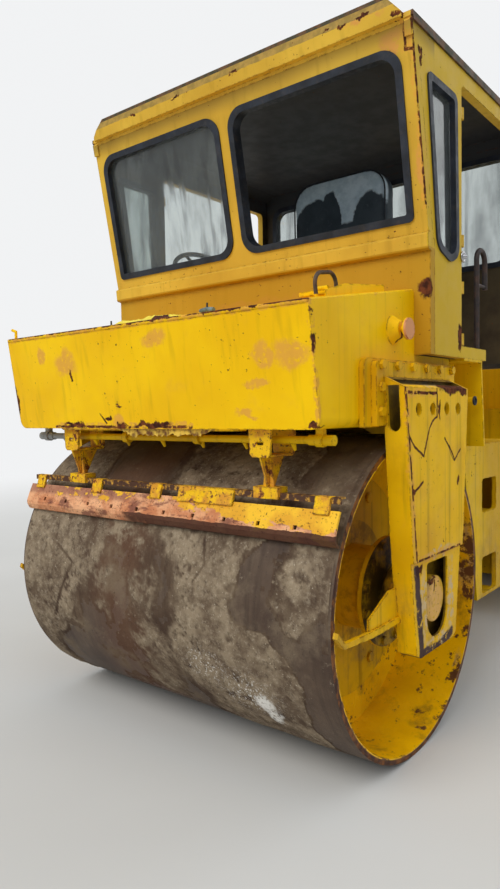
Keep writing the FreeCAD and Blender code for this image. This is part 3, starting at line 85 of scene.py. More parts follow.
class Graph:
    """A material's node tree, with one method for each kind of node that is used."""

    def __init__(self, name):
        self.material = bpy.data.materials.new(name)
        self.material.use_nodes = True
        self.tree = self.material.node_tree
        self.tree.nodes.clear()
        self.shader = self.add("ShaderNodeBsdfPrincipled")
        output = self.add("ShaderNodeOutputMaterial")
        self.tree.links.new(self.shader.outputs[0], output.inputs["Surface"])
        self.place = self.add("ShaderNodeTexCoord").outputs["Object"]
        # Named places are looked up here; the rear half's can be turned onto the front's
        self.spot_place = self.place

    def all_corners_alike(self):
        self.spot_place = self.vector("ABSOLUTE", self.place)

    def rear_like_front(self):
        turned = self.add("ShaderNodeCombineXYZ")
        end = self.math("SIGN", self.axis("X"))
        self.feed(turned.inputs["X"], end)
        self.feed(turned.inputs["Y"], end)
        turned.inputs["Z"].default_value = 1.0
        self.spot_place = self.vector("MULTIPLY", self.place, turned.outputs[0])

    def add(self, kind):
        return self.tree.nodes.new(kind)

    def feed(self, socket, value):
        if isinstance(value, bpy.types.NodeSocket):
            self.tree.links.new(value, socket)
        else:
            socket.default_value = value

    def math(self, operation, first, second=0.0, clamp=False):
        node = self.add("ShaderNodeMath")
        node.operation = operation
        node.use_clamp = clamp
        self.feed(node.inputs[0], first)
        self.feed(node.inputs[1], second)
        return node.outputs[0]

    def vector(self, operation, first, second=(0, 0, 0)):
        node = self.add("ShaderNodeVectorMath")
        node.operation = operation
        self.feed(node.inputs[0], first)
        self.feed(node.inputs[1], second)
        return node.outputs["Value" if operation in ("LENGTH", "DOT_PRODUCT") else "Vector"]

    def noise(self, scale, detail=4.0, rough=0.55, stretch=(1, 1, 1), shift=(0, 0, 0), colour=False):
        where = self.vector("ADD", self.vector("MULTIPLY", self.place, stretch), shift)
        node = self.add("ShaderNodeTexNoise")
        self.feed(node.inputs["Vector"], where)
        node.inputs["Scale"].default_value = scale
        node.inputs["Detail"].default_value = detail
        node.inputs["Roughness"].default_value = rough
        return node.outputs["Color" if colour else "Fac"]

    def span(self, value, low, high, start=0.0, end=1.0):
        node = self.add("ShaderNodeMapRange")
        node.interpolation_type = "SMOOTHSTEP"
        self.feed(node.inputs["Value"], value)
        for name, number in (("From Min", low), ("From Max", high), ("To Min", start), ("To Max", end)):
            node.inputs[name].default_value = number
        return node.outputs["Result"]

    def mix(self, amount, first, second):
        node = self.add("ShaderNodeMix")
        node.data_type = "RGBA"
        self.feed(node.inputs[0], amount)
        self.feed(node.inputs[6], first)
        self.feed(node.inputs[7], second)
        return node.outputs[2]

    def axis(self, name):
        node = self.add("ShaderNodeSeparateXYZ")
        self.feed(node.inputs[0], self.spot_place)
        return node.outputs[name]

    def spots(self, rows, wobble=0.05, scale=9.0, soft=0.35):
        """Mask of ragged blobs; each row is a centre and three half sizes."""
        shake = self.vector("SUBTRACT", self.noise(scale, 5, 0.65, colour=True), (0.5, 0.5, 0.5))
        where = self.vector("ADD", self.spot_place, self.vector("MULTIPLY", shake, (wobble * 2,) * 3))
        mask = None
        for x, y, z, across, along, tall in rows:
            offset = self.vector("SUBTRACT", where, (x, y, z))
            far = self.vector("LENGTH", self.vector("MULTIPLY", offset, (1 / across, 1 / along, 1 / tall)))
            spot = self.span(far, 1.0 - soft, 1.0, 1.0, 0.0)
            mask = spot if mask is None else self.math("MAXIMUM", mask, spot)
        return mask

    def lines(self, rows, half, wobble=0.008, scale=30.0):
        """Mask of shaky lines; each row is a start and an end."""
        shake = self.vector("SUBTRACT", self.noise(scale, 4, 0.6, colour=True), (0.5, 0.5, 0.5))
        where = self.vector("ADD", self.spot_place, self.vector("MULTIPLY", shake, (wobble * 2,) * 3))
        mask = None
        for start, end in rows:
            way = Vector(end) - Vector(start)
            offset = self.vector("SUBTRACT", where, start)
            share = self.vector("DOT_PRODUCT", offset, tuple(way / way.length_squared))
            share = self.math("MINIMUM", self.math("MAXIMUM", share, 0.0), 1.0)
            foot = self.add("ShaderNodeVectorMath")
            foot.operation = "SCALE"
            foot.inputs[0].default_value = tuple(way)
            self.feed(foot.inputs["Scale"], share)
            far = self.vector("LENGTH", self.vector("SUBTRACT", offset, foot.outputs[0]))
            line = self.span(far, half * 0.6, half, 1.0, 0.0)
            mask = line if mask is None else self.math("MAXIMUM", mask, line)
        return mask

    def edges(self, radius, low=0.015, high=0.16):
        """Mask along outward and inward corners of the shape."""
        bevel = self.add("ShaderNodeBevel")
        bevel.samples = 3
        bevel.inputs["Radius"].default_value = radius
        flat = self.add("ShaderNodeNewGeometry").outputs["Normal"]
        bend = self.math("SUBTRACT", 1.0, self.vector("DOT_PRODUCT", bevel.outputs[0], flat))
        return self.span(bend, low, high)

    def both(self, *masks):
        """Mask where all the given masks are."""
        total = masks[0]
        for mask in masks[1:]:
            total = self.math("MULTIPLY", total, mask)
        return total

    def bump(self, height, distance, strength=1.0, before=None):
        node = self.add("ShaderNodeBump")
        node.inputs["Strength"].default_value = strength
        node.inputs["Distance"].default_value = distance
        self.feed(node.inputs["Height"], height)
        if before is not None:
            self.feed(node.inputs["Normal"], before)
        return node.outputs[0]

    def above(self, name, limit):
        return self.math("GREATER_THAN", self.axis(name), limit)

    def beyond(self, name, limit):
        return self.math("GREATER_THAN", self.math("ABSOLUTE", self.axis(name)), limit)

    def finish(self, colour, roughness, normal=None, metallic=None, shine=0.5):
        self.shader.inputs["Specular IOR Level"].default_value = shine
        self.feed(self.shader.inputs["Base Color"], colour)
        self.feed(self.shader.inputs["Roughness"], roughness)
        if normal is not None:
            self.feed(self.shader.inputs["Normal"], normal)
        if metallic is not None:
            self.feed(self.shader.inputs["Metallic"], metallic)
        return self.material


def cab_inside(g):
    """Mask of the faces that look into the cab; its ceiling falls towards the eaves."""
    height = g.math("MAXIMUM", g.math("SUBTRACT", g.axis("Z"), BEAD_Z), 0.0)
    front = g.math("SUBTRACT", g.axis("X"), g.math("MULTIPLY", height, WALL_LEAN))
    beside = g.math("ABSOLUTE", g.axis("Y"))
    rise = g.math("MULTIPLY", g.math("SUBTRACT", CAB_SIDE_INSIDE, beside), EAVES_FALL)
    ceiling = g.math("MINIMUM", g.math("ADD", rise, EAVES_Z), CAB_CEILING)
    return g.both(g.math("LESS_THAN", front, CAB_FRONT_INSIDE), g.above("X", CAB_REAR_INSIDE),
                  g.math("LESS_THAN", beside, CAB_SIDE_INSIDE), g.math("LESS_THAN", g.axis("Z"), ceiling))


def painted(name, light, deep, chips=0.5, grime=0.4, wear=0.6, low_z=0.4, **places):
    """Old yellow paint: uneven tone, rain streaks, grime, rust at edges and chips, patches at named places, and painted
    shade on the faces inside the cab.
    """
    g = Graph(name)
    if "mirrored" in places:
        g.all_corners_alike()
    if "turned" in places:
        g.rear_like_front()
    tone = g.span(g.noise(1.3, 4), 0.36, 0.66)
    colour = g.mix(tone, light, deep)
    blotch = g.span(g.noise(7.0, 5, 0.62), 0.48, 0.78, 0.0, 0.6)
    colour = g.mix(blotch, colour, deep)
    streak = g.span(g.noise(26.0, 3, 0.5, (1, 1, 0.04)), 0.52, 0.76, 0.0, grime * 0.7)
    colour = g.mix(streak, colour, OLIVE)
    pale_streak = g.span(g.noise(15.0, 3, 0.5, (1, 1, 0.05), (4, 2, 9)), 0.56, 0.74, 0.0, grime * 0.5)
    colour = g.mix(pale_streak, colour, light)
    if "faded" in places:
        patch = g.math("MULTIPLY", g.spots(places["faded"], 0.06, 11.0, 0.45), g.span(g.noise(40.0, 4, 0.6), 0.28, 0.50))
        colour = g.mix(g.math("MULTIPLY", patch, 0.85), colour, places.get("fade", PEACH))
    low = g.span(g.axis("Z"), low_z, low_z + 0.7, 1.0, 0.0)
    dirt = g.math("MULTIPLY", g.span(g.noise(5.0, 6, 0.65), 0.45, 0.75), g.math("MULTIPLY", low, grime))
    colour = g.mix(dirt, colour, SOIL)
    if "flaked" in places:
        flakes = g.math("MULTIPLY", g.spots(places["flaked"], 0.05, 14.0, 0.6), g.span(g.noise(34.0, 6, 0.7), 0.47, 0.52))
        colour = g.mix(flakes, colour, CREAM)
    grain = g.noise(62.0, 5, 0.62)
    field = g.span(g.noise(2.6, 4, 0.6, shift=(3, 1, 7)), 0.44, 0.62)
    dense = g.math("ADD", grain, g.math("MULTIPLY", field, 0.055))
    chip = g.span(dense, 0.735 - 0.05 * chips, 0.745 - 0.05 * chips)
    rim = g.math("MULTIPLY", g.edges(0.010), g.span(g.noise(24.0, 6, 0.7, shift=(5, 2, 1)), 0.47, 0.56, 0.0, wear))
    rust = g.math("MAXIMUM", chip, rim)
    if "rusty" in places:
        rust = g.math("MAXIMUM", rust, g.spots(places["rusty"], 0.035, 22.0, 0.25))
    if "cracks" in places:
        broken = g.span(g.noise(26.0, 6, 0.7, shift=(7, 1, 3)), 0.40, 0.48)
        rust = g.math("MAXIMUM", rust, g.math("MULTIPLY", g.lines(places["cracks"], 0.0085, 0.007), broken))
        border = g.math("MULTIPLY", g.lines(places["cracks"], 0.024, 0.02, 14.0), g.span(g.noise(30.0, 6, 0.7), 0.46, 0.54))
        colour = g.mix(g.math("MULTIPLY", border, 0.8), colour, places.get("border", PEACH))
    if "seams" in places:
        rust = g.math("MAXIMUM", rust, g.lines(places["seams"], 0.0065, 0.010, 14.0))
    halo = g.math("MULTIPLY", g.span(g.noise(9.0, 5, 0.6, shift=(8, 8, 2)), 0.58, 0.76), chips * 0.45)
    colour = g.mix(halo, colour, PEACH)
    if "strips" in places:
        for mask, tint in places["strips"](g):
            colour = g.mix(mask, colour, tint)
    if "inside" in places:
        # Painted shade: faces that look into the cab are darkened brown, turning grey towards the ceiling.
        painted_inside_shade = g.mix(g.span(g.noise(4.0, 5, 0.6), 0.35, 0.65), srgb(84, 72, 52), srgb(60, 50, 38))
        painted_inside_shade = g.mix(g.span(g.axis("Z"), 2.95, 3.05), painted_inside_shade, srgb(64, 64, 65))
        colour = g.mix(cab_inside(g), colour, painted_inside_shade)
    rust_tone = g.mix(g.span(g.noise(34.0, 5, 0.6), 0.38, 0.64), RUST_DARK, RUST_MID)
    colour = g.mix(rust, colour, rust_tone)
    if "purple" in places:
        band = g.math("MULTIPLY", g.lines(places["purple"], 0.030, 0.02, 14.0), g.span(g.noise(30.0, 6, 0.7), 0.36, 0.46))
        colour = g.mix(band, colour, PURPLE)
    rough = g.math("ADD", g.span(rust, 0.0, 1.0, 0.42, 0.86), g.span(g.noise(11.0, 3), 0.3, 0.7, 0.0, 0.16))
    wave = g.bump(g.noise(3.2, 2), 0.012, 0.22)
    scale = g.bump(g.math("SUBTRACT", g.math("MULTIPLY", grain, 0.35), g.math("MULTIPLY", rust, 0.65)), 0.0016, 0.6, wave)
    return g.finish(colour, rough, scale, shine=0.13)


def cab_strips(g):
    """Tints of the cab: olive sides, a darker wall below the bead, a painted shadow on the front wall under the roof's
    lip, a tan band and a dark rusty rim on the roof.
    """
    blotch = g.span(g.noise(20.0, 5, 0.65), 0.40, 0.60)
    dark = g.mix(blotch, srgb(64, 62, 44), srgb(104, 74, 48))
    tan = g.mix(blotch, srgb(174, 140, 66), srgb(148, 122, 58))
    rim = g.both(g.above("Z", 3.0715), g.beyond("Y", 0.9985))
    ragged = g.math("MULTIPLY", g.math("SUBTRACT", g.noise(16.0, 5, 0.65), 0.5), 0.016)
    high = g.math("GREATER_THAN", g.math("ADD", g.axis("Z"), ragged), ROOF_FOLD_Z)
    lip = g.both(g.above("Z", 3.172), g.above("X", 1.88))
    side = g.math("MULTIPLY", g.beyond("Y", 0.9985), 0.7)
    # The front wall is given a darker tint below the bead.
    shade = g.math("MULTIPLY", g.both(g.above("X", 1.70), g.math("LESS_THAN", g.axis("Z"), BEAD_Z - 0.04)), 0.75)
    # Painted shadow: the top of the front wall darkens just under the roof's lip.
    painted_shadow_under_roof = g.both(g.span(g.axis("Z"), 2.985, 3.06, 0.0, 0.55), g.above("X", 1.70), g.math("LESS_THAN", g.axis("Z"), 3.0715))
    return [(side, srgb(206, 172, 22)), (shade, srgb(178, 130, 14)), (painted_shadow_under_roof, srgb(120, 98, 46)), (g.both(high, g.above("X", 1.85)), tan),
            (rim, dark), (lip, dark)]


def tank_strips(g):
    """The handle on the tank is bare dark steel, and the socket's cap has a pale face."""
    handle = g.both(g.above("Z", 1.952), g.above("X", 2.14), g.above("Y", 0.76),
                    g.math("LESS_THAN", g.axis("X"), 2.37), g.math("LESS_THAN", g.axis("Y"), 0.84))
    steel = g.mix(g.span(g.noise(30.0, 4), 0.4, 0.6), srgb(62, 60, 62), srgb(92, 78, 66))
    return [(handle, steel), (g.above("Y", 0.9915), srgb(214, 150, 104))]


def bar_strips(g):
    """The bar's right end is bare pale pipe."""
    return [(g.math("LESS_THAN", g.axis("Y"), -0.64), srgb(146, 148, 146))]


def leg_hollow_grime_and_shade(g):
    """Dark grime and painted shade in the hollow leg, between its walls and below its bent cover."""
    x, y, z = g.axis("X"), g.axis("Y"), g.axis("Z")
    lower = g.math("ADD", g.math("MULTIPLY", g.math("SUBTRACT", z, 0.51), 0.1327), 0.186)
    upper = g.math("ADD", g.math("MULTIPLY", g.math("SUBTRACT", z, 1.0), 0.0868), 0.251)
    narrow = g.math("LESS_THAN", g.math("ABSOLUTE", g.math("SUBTRACT", x, AXLE_X)), g.math("MINIMUM", lower, upper))
    bent = g.math("MAXIMUM", g.math("SUBTRACT", z, 1.606), 0.0)
    covered = g.math("LESS_THAN", g.math("ADD", y, bent), 1.043)
    inside = g.both(narrow, covered, g.above("Y", 0.966), g.math("LESS_THAN", z, 1.64))
    # The hollow is painted dark: partly grime, partly painted shade where the cover keeps the light out.
    return [(g.math("MULTIPLY", inside, 0.9), g.mix(g.span(g.noise(14.0, 5, 0.65), 0.4, 0.6), srgb(112, 88, 20), srgb(70, 56, 30)))]


def bearing_grease_and_shade(g):
    """Black grease and dirt, with painted shade, between the hub's flange and the leg."""
    zone = g.both(g.beyond("Y", 0.8205), g.math("SUBTRACT", 1.0, g.beyond("Y", 0.962)))
    grease_and_shade = g.span(g.noise(9.0, 5, 0.65), 0.36, 0.56, 0.20, 0.90)
    film = g.span(g.noise(6.0, 5, 0.65, shift=(2, 7, 3)), 0.50, 0.66, 0.0, 0.55)
    near = g.math("LESS_THAN", drum_reach(g), 0.30)
    # The near-black band is partly grease and partly painted shade under the flange.
    return [(g.both(film, near), srgb(86, 66, 30)), (g.both(zone, grease_and_shade), srgb(40, 32, 22))]


def rusted(name):
    """Bare rusty plate below, yellow paint left on its upper face, clips and hangers in chipped paint."""
    g = Graph(name)
    g.rear_like_front()
    y, z = g.axis("Y"), g.axis("Z")
    colour = g.mix(g.span(g.noise(9.0, 6, 0.66), 0.38, 0.64), srgb(230, 172, 128), srgb(192, 122, 82))
    patch = g.span(g.noise(13.0, 6, 0.7, (1, 0.4, 1), (5, 5, 2)), 0.50, 0.59, 0.0, 0.85)
    colour = g.mix(patch, colour, srgb(122, 74, 60))
    dull = g.both(g.span(z, BLADE_TIP[1] + 0.080, BLADE_TIP[1] + 0.105), g.span(y, -0.10, 0.35, 0.75, 0.0))
    colour = g.mix(g.math("MULTIPLY", dull, g.span(g.noise(12.0, 6, 0.68, (1, 0.4, 1)), 0.40, 0.54)), colour, srgb(146, 98, 80))
    # Paint is left where the noise, the place along the beam and the height on its face add up
    along = g.span(y, -0.25, 0.75, -0.16, 0.10)
    up = g.span(z, BLADE_TIP[1] + 0.045, BLADE_TIP[1] + 0.105, -0.14, 0.08)
    keep = g.math("ADD", g.noise(15.0, 6, 0.66, (1, 0.5, 1), (2, 9, 4)), g.math("ADD", along, up))
    remnant = g.span(keep, 0.48, 0.51)
    yellow = g.mix(g.span(g.noise(8.0, 4), 0.4, 0.6), srgb(240, 188, 44), srgb(222, 162, 40))
    colour = g.mix(remnant, colour, yellow)
    ragged = g.math("ADD", z, g.math("MULTIPLY", g.math("SUBTRACT", g.noise(18.0, 5, 0.65), 0.5), 0.02))
    lip = g.both(g.math("LESS_THAN", ragged, BLADE_TIP[1] + 0.050), g.span(g.math("ADD", y, g.noise(6.0, 4)), 0.20, 0.50))
    colour = g.mix(g.math("MULTIPLY", lip, 0.95), colour, srgb(76, 46, 34))
    aged = g.mix(g.span(g.noise(14.0, 5, 0.65), 0.42, 0.60), srgb(236, 186, 14), srgb(210, 146, 44))
    chipped = g.mix(g.span(g.noise(26.0, 6, 0.68), 0.56, 0.61), aged, RUST_MID)
    chipped = g.mix(g.math("MULTIPLY", g.edges(0.010), g.span(g.noise(30.0, 5, 0.65), 0.42, 0.52)), chipped, RUST_DARK)
    fittings = g.above("Z", BLADE_TIP[1] + 0.186)
    for place, half in CLIP_PLACES:
        near = g.math("LESS_THAN", g.math("ABSOLUTE", g.math("SUBTRACT", y, place)), half)
        fittings = g.math("MAXIMUM", fittings, g.both(near, g.above("Z", BLADE_TIP[1] + 0.118)))
    for place in HANGER_PLACES:
        near = g.math("LESS_THAN", g.math("ABSOLUTE", g.math("SUBTRACT", y, place)), 0.062)
        fittings = g.math("MAXIMUM", fittings, g.both(near, g.above("Z", BLADE_TIP[1] + 0.150)))
    rail = g.math("MULTIPLY", g.above("Z", BLADE_TIP[1] + 0.138), g.math("SUBTRACT", 1.0, fittings))
    rail_tone = g.mix(g.span(g.noise(40.0, 5, 0.65), 0.5, 0.6), srgb(78, 52, 38), srgb(196, 146, 58))
    colour = g.mix(rail, colour, rail_tone)
    colour = g.mix(fittings, colour, chipped)
    speck = g.span(g.noise(80.0, 5, 0.65), 0.57, 0.66, 0.0, 0.75)
    colour = g.mix(speck, colour, RUST_DARK)
    height = g.math("ADD", g.noise(28.0, 6, 0.65), g.math("MULTIPLY", g.math("SUBTRACT", remnant, speck), 0.4))
    return g.finish(colour, g.span(remnant, 0.0, 1.0, 0.82, 0.55), g.bump(height, 0.003, 0.7), shine=0.2)


def drum_reach(g):
    """Distance from the near drum's axle."""
    along = g.math("SUBTRACT", g.math("ABSOLUTE", g.axis("X")), AXLE_X)
    up = g.math("SUBTRACT", g.axis("Z"), DRUM_RADIUS)
    return g.math("SQRT", g.math("ADD", g.math("MULTIPLY", along, along), g.math("MULTIPLY", up, up)))


def splash(g):
    """Mask of a white chalky splash, dense in its middle and speckled around."""
    core = g.spots(WHITE_SPLASH, 0.05, 26.0, 0.6)
    wide = g.spots(WHITE_HAZE, 0.04, 12.0, 0.9)
    speckled = g.math("MULTIPLY", wide, g.span(g.noise(85.0, 5, 0.7, shift=(9, 2, 2)), 0.56, 0.61))
    broken = g.math("MULTIPLY", core, g.span(g.noise(60.0, 5, 0.7), 0.34, 0.50))
    return g.math("MULTIPLY", g.math("MAXIMUM", broken, speckled), 0.9)


def steel_tone(g):
    """Brushed brown steel with a rust bloom and a film of dust: its colour and the film's mask."""
    colour = g.mix(g.span(g.noise(2.4, 5, 0.6), 0.36, 0.64), srgb(68, 52, 42), srgb(94, 77, 62))
    brushed = g.span(g.noise(34.0, 6, 0.7, (0.05, 1, 0.05)), 0.42, 0.68, 0.0, 0.6)
    colour = g.mix(brushed, colour, srgb(62, 48, 38))
    shake = g.math("MULTIPLY", g.math("SUBTRACT", g.noise(3.0, 5, 0.6), 0.5), 0.5)
    beside = g.math("ABSOLUTE", g.math("ADD", g.math("ADD", g.axis("Y"), 0.24), shake))
    colour = g.mix(g.span(beside, 0.04, 0.30, 0.55, 0.0), colour, srgb(102, 72, 54))
    film = g.span(g.noise(3.6, 9, 0.7, shift=(1, 4, 2)), 0.47, 0.66, 0.0, 0.7)
    colour = g.mix(film, colour, srgb(122, 106, 86))
    pale = g.span(g.noise(26.0, 7, 0.74, shift=(6, 6, 1)), 0.60, 0.70, 0.0, 0.6)
    colour = g.mix(pale, colour, srgb(158, 144, 122))
    pits = g.span(g.noise(70.0, 5, 0.7, shift=(3, 6, 8)), 0.60, 0.68, 0.0, 0.7)
    return g.mix(pits, colour, srgb(48, 38, 32)), film


def steel_drum(name):
    """Drum surface: worn steel; painted inside, rusty at the rim."""
    g = Graph(name)
    g.rear_like_front()
    colour, film = steel_tone(g)
    colour = g.mix(splash(g), colour, srgb(232, 229, 221))
    rough = g.span(film, 0.0, 1.0, 0.55, 0.95)
    reach = drum_reach(g)
    paint = g.mix(g.span(g.noise(2.2, 5, 0.6), 0.36, 0.64), srgb(250, 196, 4), srgb(226, 170, 4))
    paint = g.mix(g.span(g.noise(6.0, 6, 0.66), 0.52, 0.72, 0.0, 0.7), paint, srgb(120, 92, 30))
    # Rust gains towards the rim, and most where dust and water stood
    outer = g.span(g.math("ABSOLUTE", g.axis("Y")), DRUM_HALF - 0.10, DRUM_HALF, 0.0, 0.06)
    stood = g.spots(RUSTY_RIM, 0.06, 10.0, 0.6)
    eaten = g.math("ADD", g.noise(17.0, 7, 0.7), g.math("ADD", outer, g.math("MULTIPLY", stood, 0.10)))
    dusty = g.math("MULTIPLY", stood, g.span(g.noise(12.0, 5, 0.65, shift=(5, 2, 9)), 0.40, 0.56, 0.0, 0.8))
    paint = g.mix(dusty, paint, srgb(176, 146, 104))
    paint = g.mix(g.span(eaten, 0.57, 0.65), paint, srgb(100, 64, 38))
    inner = g.span(reach, DRUM_RADIUS - 0.0225, DRUM_RADIUS - 0.018, 1.0, 0.0)
    colour = g.mix(inner, colour, paint)
    end = g.both(g.beyond("Y", DRUM_HALF - 0.0015), g.math("SUBTRACT", 1.0, inner))
    rim_tone = g.mix(g.span(g.noise(22.0, 5, 0.6), 0.4, 0.6), RUST_DARK, srgb(126, 76, 30))
    colour = g.mix(end, colour, rim_tone)
    rough = g.math("SUBTRACT", rough, g.math("MULTIPLY", inner, 0.25))
    normal = g.bump(g.math("ADD", film, g.noise(46.0, 8, 0.7)), 0.004, 0.7)
    return g.finish(colour, rough, normal, shine=0.25)


def soil_crust(name):
    """Dried soil and asphalt dust with pale grit, as dark as the steel where it is thin."""
    g = Graph(name)
    g.rear_like_front()
    colour = g.mix(g.span(g.noise(6.0, 7, 0.7), 0.38, 0.62), srgb(144, 128, 106), srgb(100, 84, 68))
    colour = g.mix(g.span(g.noise(44.0, 8, 0.8), 0.50, 0.64, 0.0, 0.5), colour, srgb(174, 160, 138))
    colour = g.mix(g.span(g.noise(28.0, 8, 0.74, shift=(3, 3, 3)), 0.50, 0.66, 0.0, 0.7), colour, srgb(74, 60, 48))
    colour = g.mix(g.span(g.noise(95.0, 5, 0.7, shift=(8, 1, 4)), 0.63, 0.69, 0.0, 0.9), colour, srgb(206, 196, 176))
    thick = g.math("ADD", drum_reach(g), g.math("MULTIPLY", g.math("SUBTRACT", g.noise(40.0, 5, 0.7), 0.5), 0.0012))
    thin = g.span(thick, DRUM_RADIUS + 0.0005, DRUM_RADIUS + 0.0024, 1.0, 0.0)
    colour = g.mix(thin, colour, steel_tone(g)[0])
    colour = g.mix(splash(g), colour, srgb(234, 231, 224))
    normal = g.bump(g.noise(70.0, 8, 0.75), 0.004, 0.85)
    return g.finish(colour, 0.95, normal, shine=0.15)


def plain(name, light, deep, rough, scale=8.0, depth=0.001, metallic=None, dust=0.0):
    """A plain substance with an uneven tone, fine grain and a little dust."""
    g = Graph(name)
    colour = g.mix(g.span(g.noise(scale, 5, 0.6), 0.34, 0.68), light, deep)
    if dust:
        colour = g.mix(g.span(g.noise(scale * 2.3, 5, 0.66, shift=(4, 4, 4)), 0.50, 0.74, 0.0, dust), colour, SOIL)
    rough_socket = g.span(g.noise(scale * 3, 4, 0.6), 0.3, 0.7, rough - 0.08, rough + 0.10)
    return g.finish(colour, rough_socket, g.bump(g.noise(scale * 16, 4, 0.6), depth, 0.5), metallic, 0.35)


def seat_vinyl(name):
    """Dark vinyl under a pale bloom at the top and middle, worn off below in two ragged lobes; the bloom's pale tones
    are painted brighter to stand in for light in the shaded cab.
    """
    g = Graph(name)
    worn = g.spots(WORN_SEAT, 0.03, 15.0, 0.07)
    front = g.span(g.axis("X"), 0.985, 1.008)
    bloom = g.both(g.math("SUBTRACT", 1.0, worn), front, g.above("Z", 2.50))
    colour = g.mix(g.span(g.noise(9.0, 5, 0.6), 0.35, 0.65), srgb(50, 60, 70), srgb(64, 74, 82))
    # Painted light: the bloom's pale tones are set brighter than its dust alone would be, to light the seat in the
    # shaded cab.
    dusty = g.mix(g.span(g.noise(16.0, 6, 0.65), 0.36, 0.64), srgb(186, 206, 218), srgb(212, 228, 238))
    colour = g.mix(bloom, colour, dusty)
    scuff = g.span(g.noise(38.0, 5, 0.65), 0.60, 0.74, 0.0, 0.35)
    colour = g.mix(scuff, colour, srgb(120, 128, 132))
    grain = g.bump(g.noise(420.0, 3, 0.5), 0.0006, 0.5, g.bump(g.noise(14.0, 4, 0.6), 0.003, 0.5))
    return g.finish(colour, g.span(bloom, 0.0, 1.0, 0.5, 0.75), grain, shine=0.3)


def glass(name):
    """Old glass under a film of dust with rain streaks."""
    g = Graph(name)
    film = g.span(g.noise(3.0, 6, 0.65, (1, 1, 0.35)), 0.42, 0.70)
    streak = g.span(g.noise(14.0, 4, 0.6, (1, 1, 0.08), (3, 5, 1)), 0.48, 0.66)
    film = g.math("MAXIMUM", film, g.math("MULTIPLY", streak, 0.8))
    g.shader.inputs["Transmission Weight"].default_value = 0.93
    g.shader.inputs["IOR"].default_value = 1.45
    colour = g.mix(film, srgb(206, 214, 212), srgb(140, 146, 146))
    return g.finish(colour, g.span(film, 0.0, 1.0, 0.02, 0.24), shine=0.3)


FADED_TANK = [
    (2.54, 0.143, 1.82, 0.1, 0.09, 0.045), (2.54, -0.475, 1.76, 0.1, 0.11, 0.08), (2.54, -0.66, 1.79, 0.1, 0.04, 0.05),
    (2.54, 0.70, 1.72, 0.1, 0.06, 0.06), (2.54, 0.82, 1.71, 0.1, 0.09, 0.07), (2.54, 0.661, 1.61, 0.1, 0.08, 0.025),
    (2.54, -0.15, 1.48, 0.1, 0.05, 0.05), (2.54, 0.60, 1.50, 0.1, 0.07, 0.02),
]
RUSTY_TANK = [
    (2.53, -0.47, 1.462, 0.1, 0.10, 0.014), (2.53, -0.215, 1.488, 0.1, 0.020, 0.018), (2.53, -0.14, 1.545, 0.1, 0.02, 0.007),
    (2.53, -0.13, 1.455, 0.1, 0.04, 0.02), (2.53, 0.07, 1.462, 0.1, 0.13, 0.017), (2.55, 0.935, 1.74, 0.03, 0.014, 0.06),
    (2.52, -0.925, 1.6, 0.03, 0.02, 0.10), (2.54, -0.45, 1.70, 0.1, 0.012, 0.03), (1.947, 0.965, 1.79, 0.008, 0.04, 0.05),
    (2.58, 0.10, 1.900, 0.03, 0.16, 0.012), (2.58, -0.55, 1.900, 0.03, 0.25, 0.007), (2.58, 0.62, 1.900, 0.03, 0.28, 0.007),
    (2.53, 0.895, 1.46, 0.1, 0.025, 0.02), (2.550, 0.935, 1.66, 0.03, 0.012, 0.04), (2.535, 0.935, 1.56, 0.03, 0.012, 0.035),
    (2.56, 0.935, 1.85, 0.03, 0.012, 0.03),
]
TANK_SCRATCHES = [
    ((2.51, -0.299, 1.561), (2.51, -0.26, 1.507)), ((2.51, -0.262, 1.55), (2.51, -0.276, 1.518)),
    ((2.51, -0.276, 1.518), (2.51, -0.233, 1.471)), ((2.51, -0.223, 1.565), (2.51, -0.153, 1.582)),
]
TANK_EDGES = [
    ((2.512, 0.932, 1.46), (2.562, 0.932, 1.89)), ((2.572, -0.93, 1.897), (2.572, 0.93, 1.897)),
    ((2.505, -0.62, 1.452), (2.505, 0.30, 1.452)), ((2.555, 0.946, 1.895), (1.76, 0.946, 2.028)),
]
RUSTY_LEG = [
    (1.66, 1.05, 1.60, 0.16, 0.06, 0.030), (1.54, 1.05, 1.585, 0.05, 0.06, 0.025), (2.048, 1.062, 1.184, 0.015, 0.03, 0.015),
    (1.80, 1.062, 1.50, 0.012, 0.02, 0.05), (1.60, 1.062, 1.19, 0.012, 0.02, 0.02), (1.98, 1.06, 0.855, 0.045, 0.02, 0.035),
]
LEG_EDGES = [
    ((2.120, 1.062, 1.64), (2.021, 1.062, 0.90)), ((2.00, 1.062, 0.898), (1.58, 1.062, 0.898)),
    ((2.105, 1.062, 1.575), (1.83, 1.062, 1.575)),
]
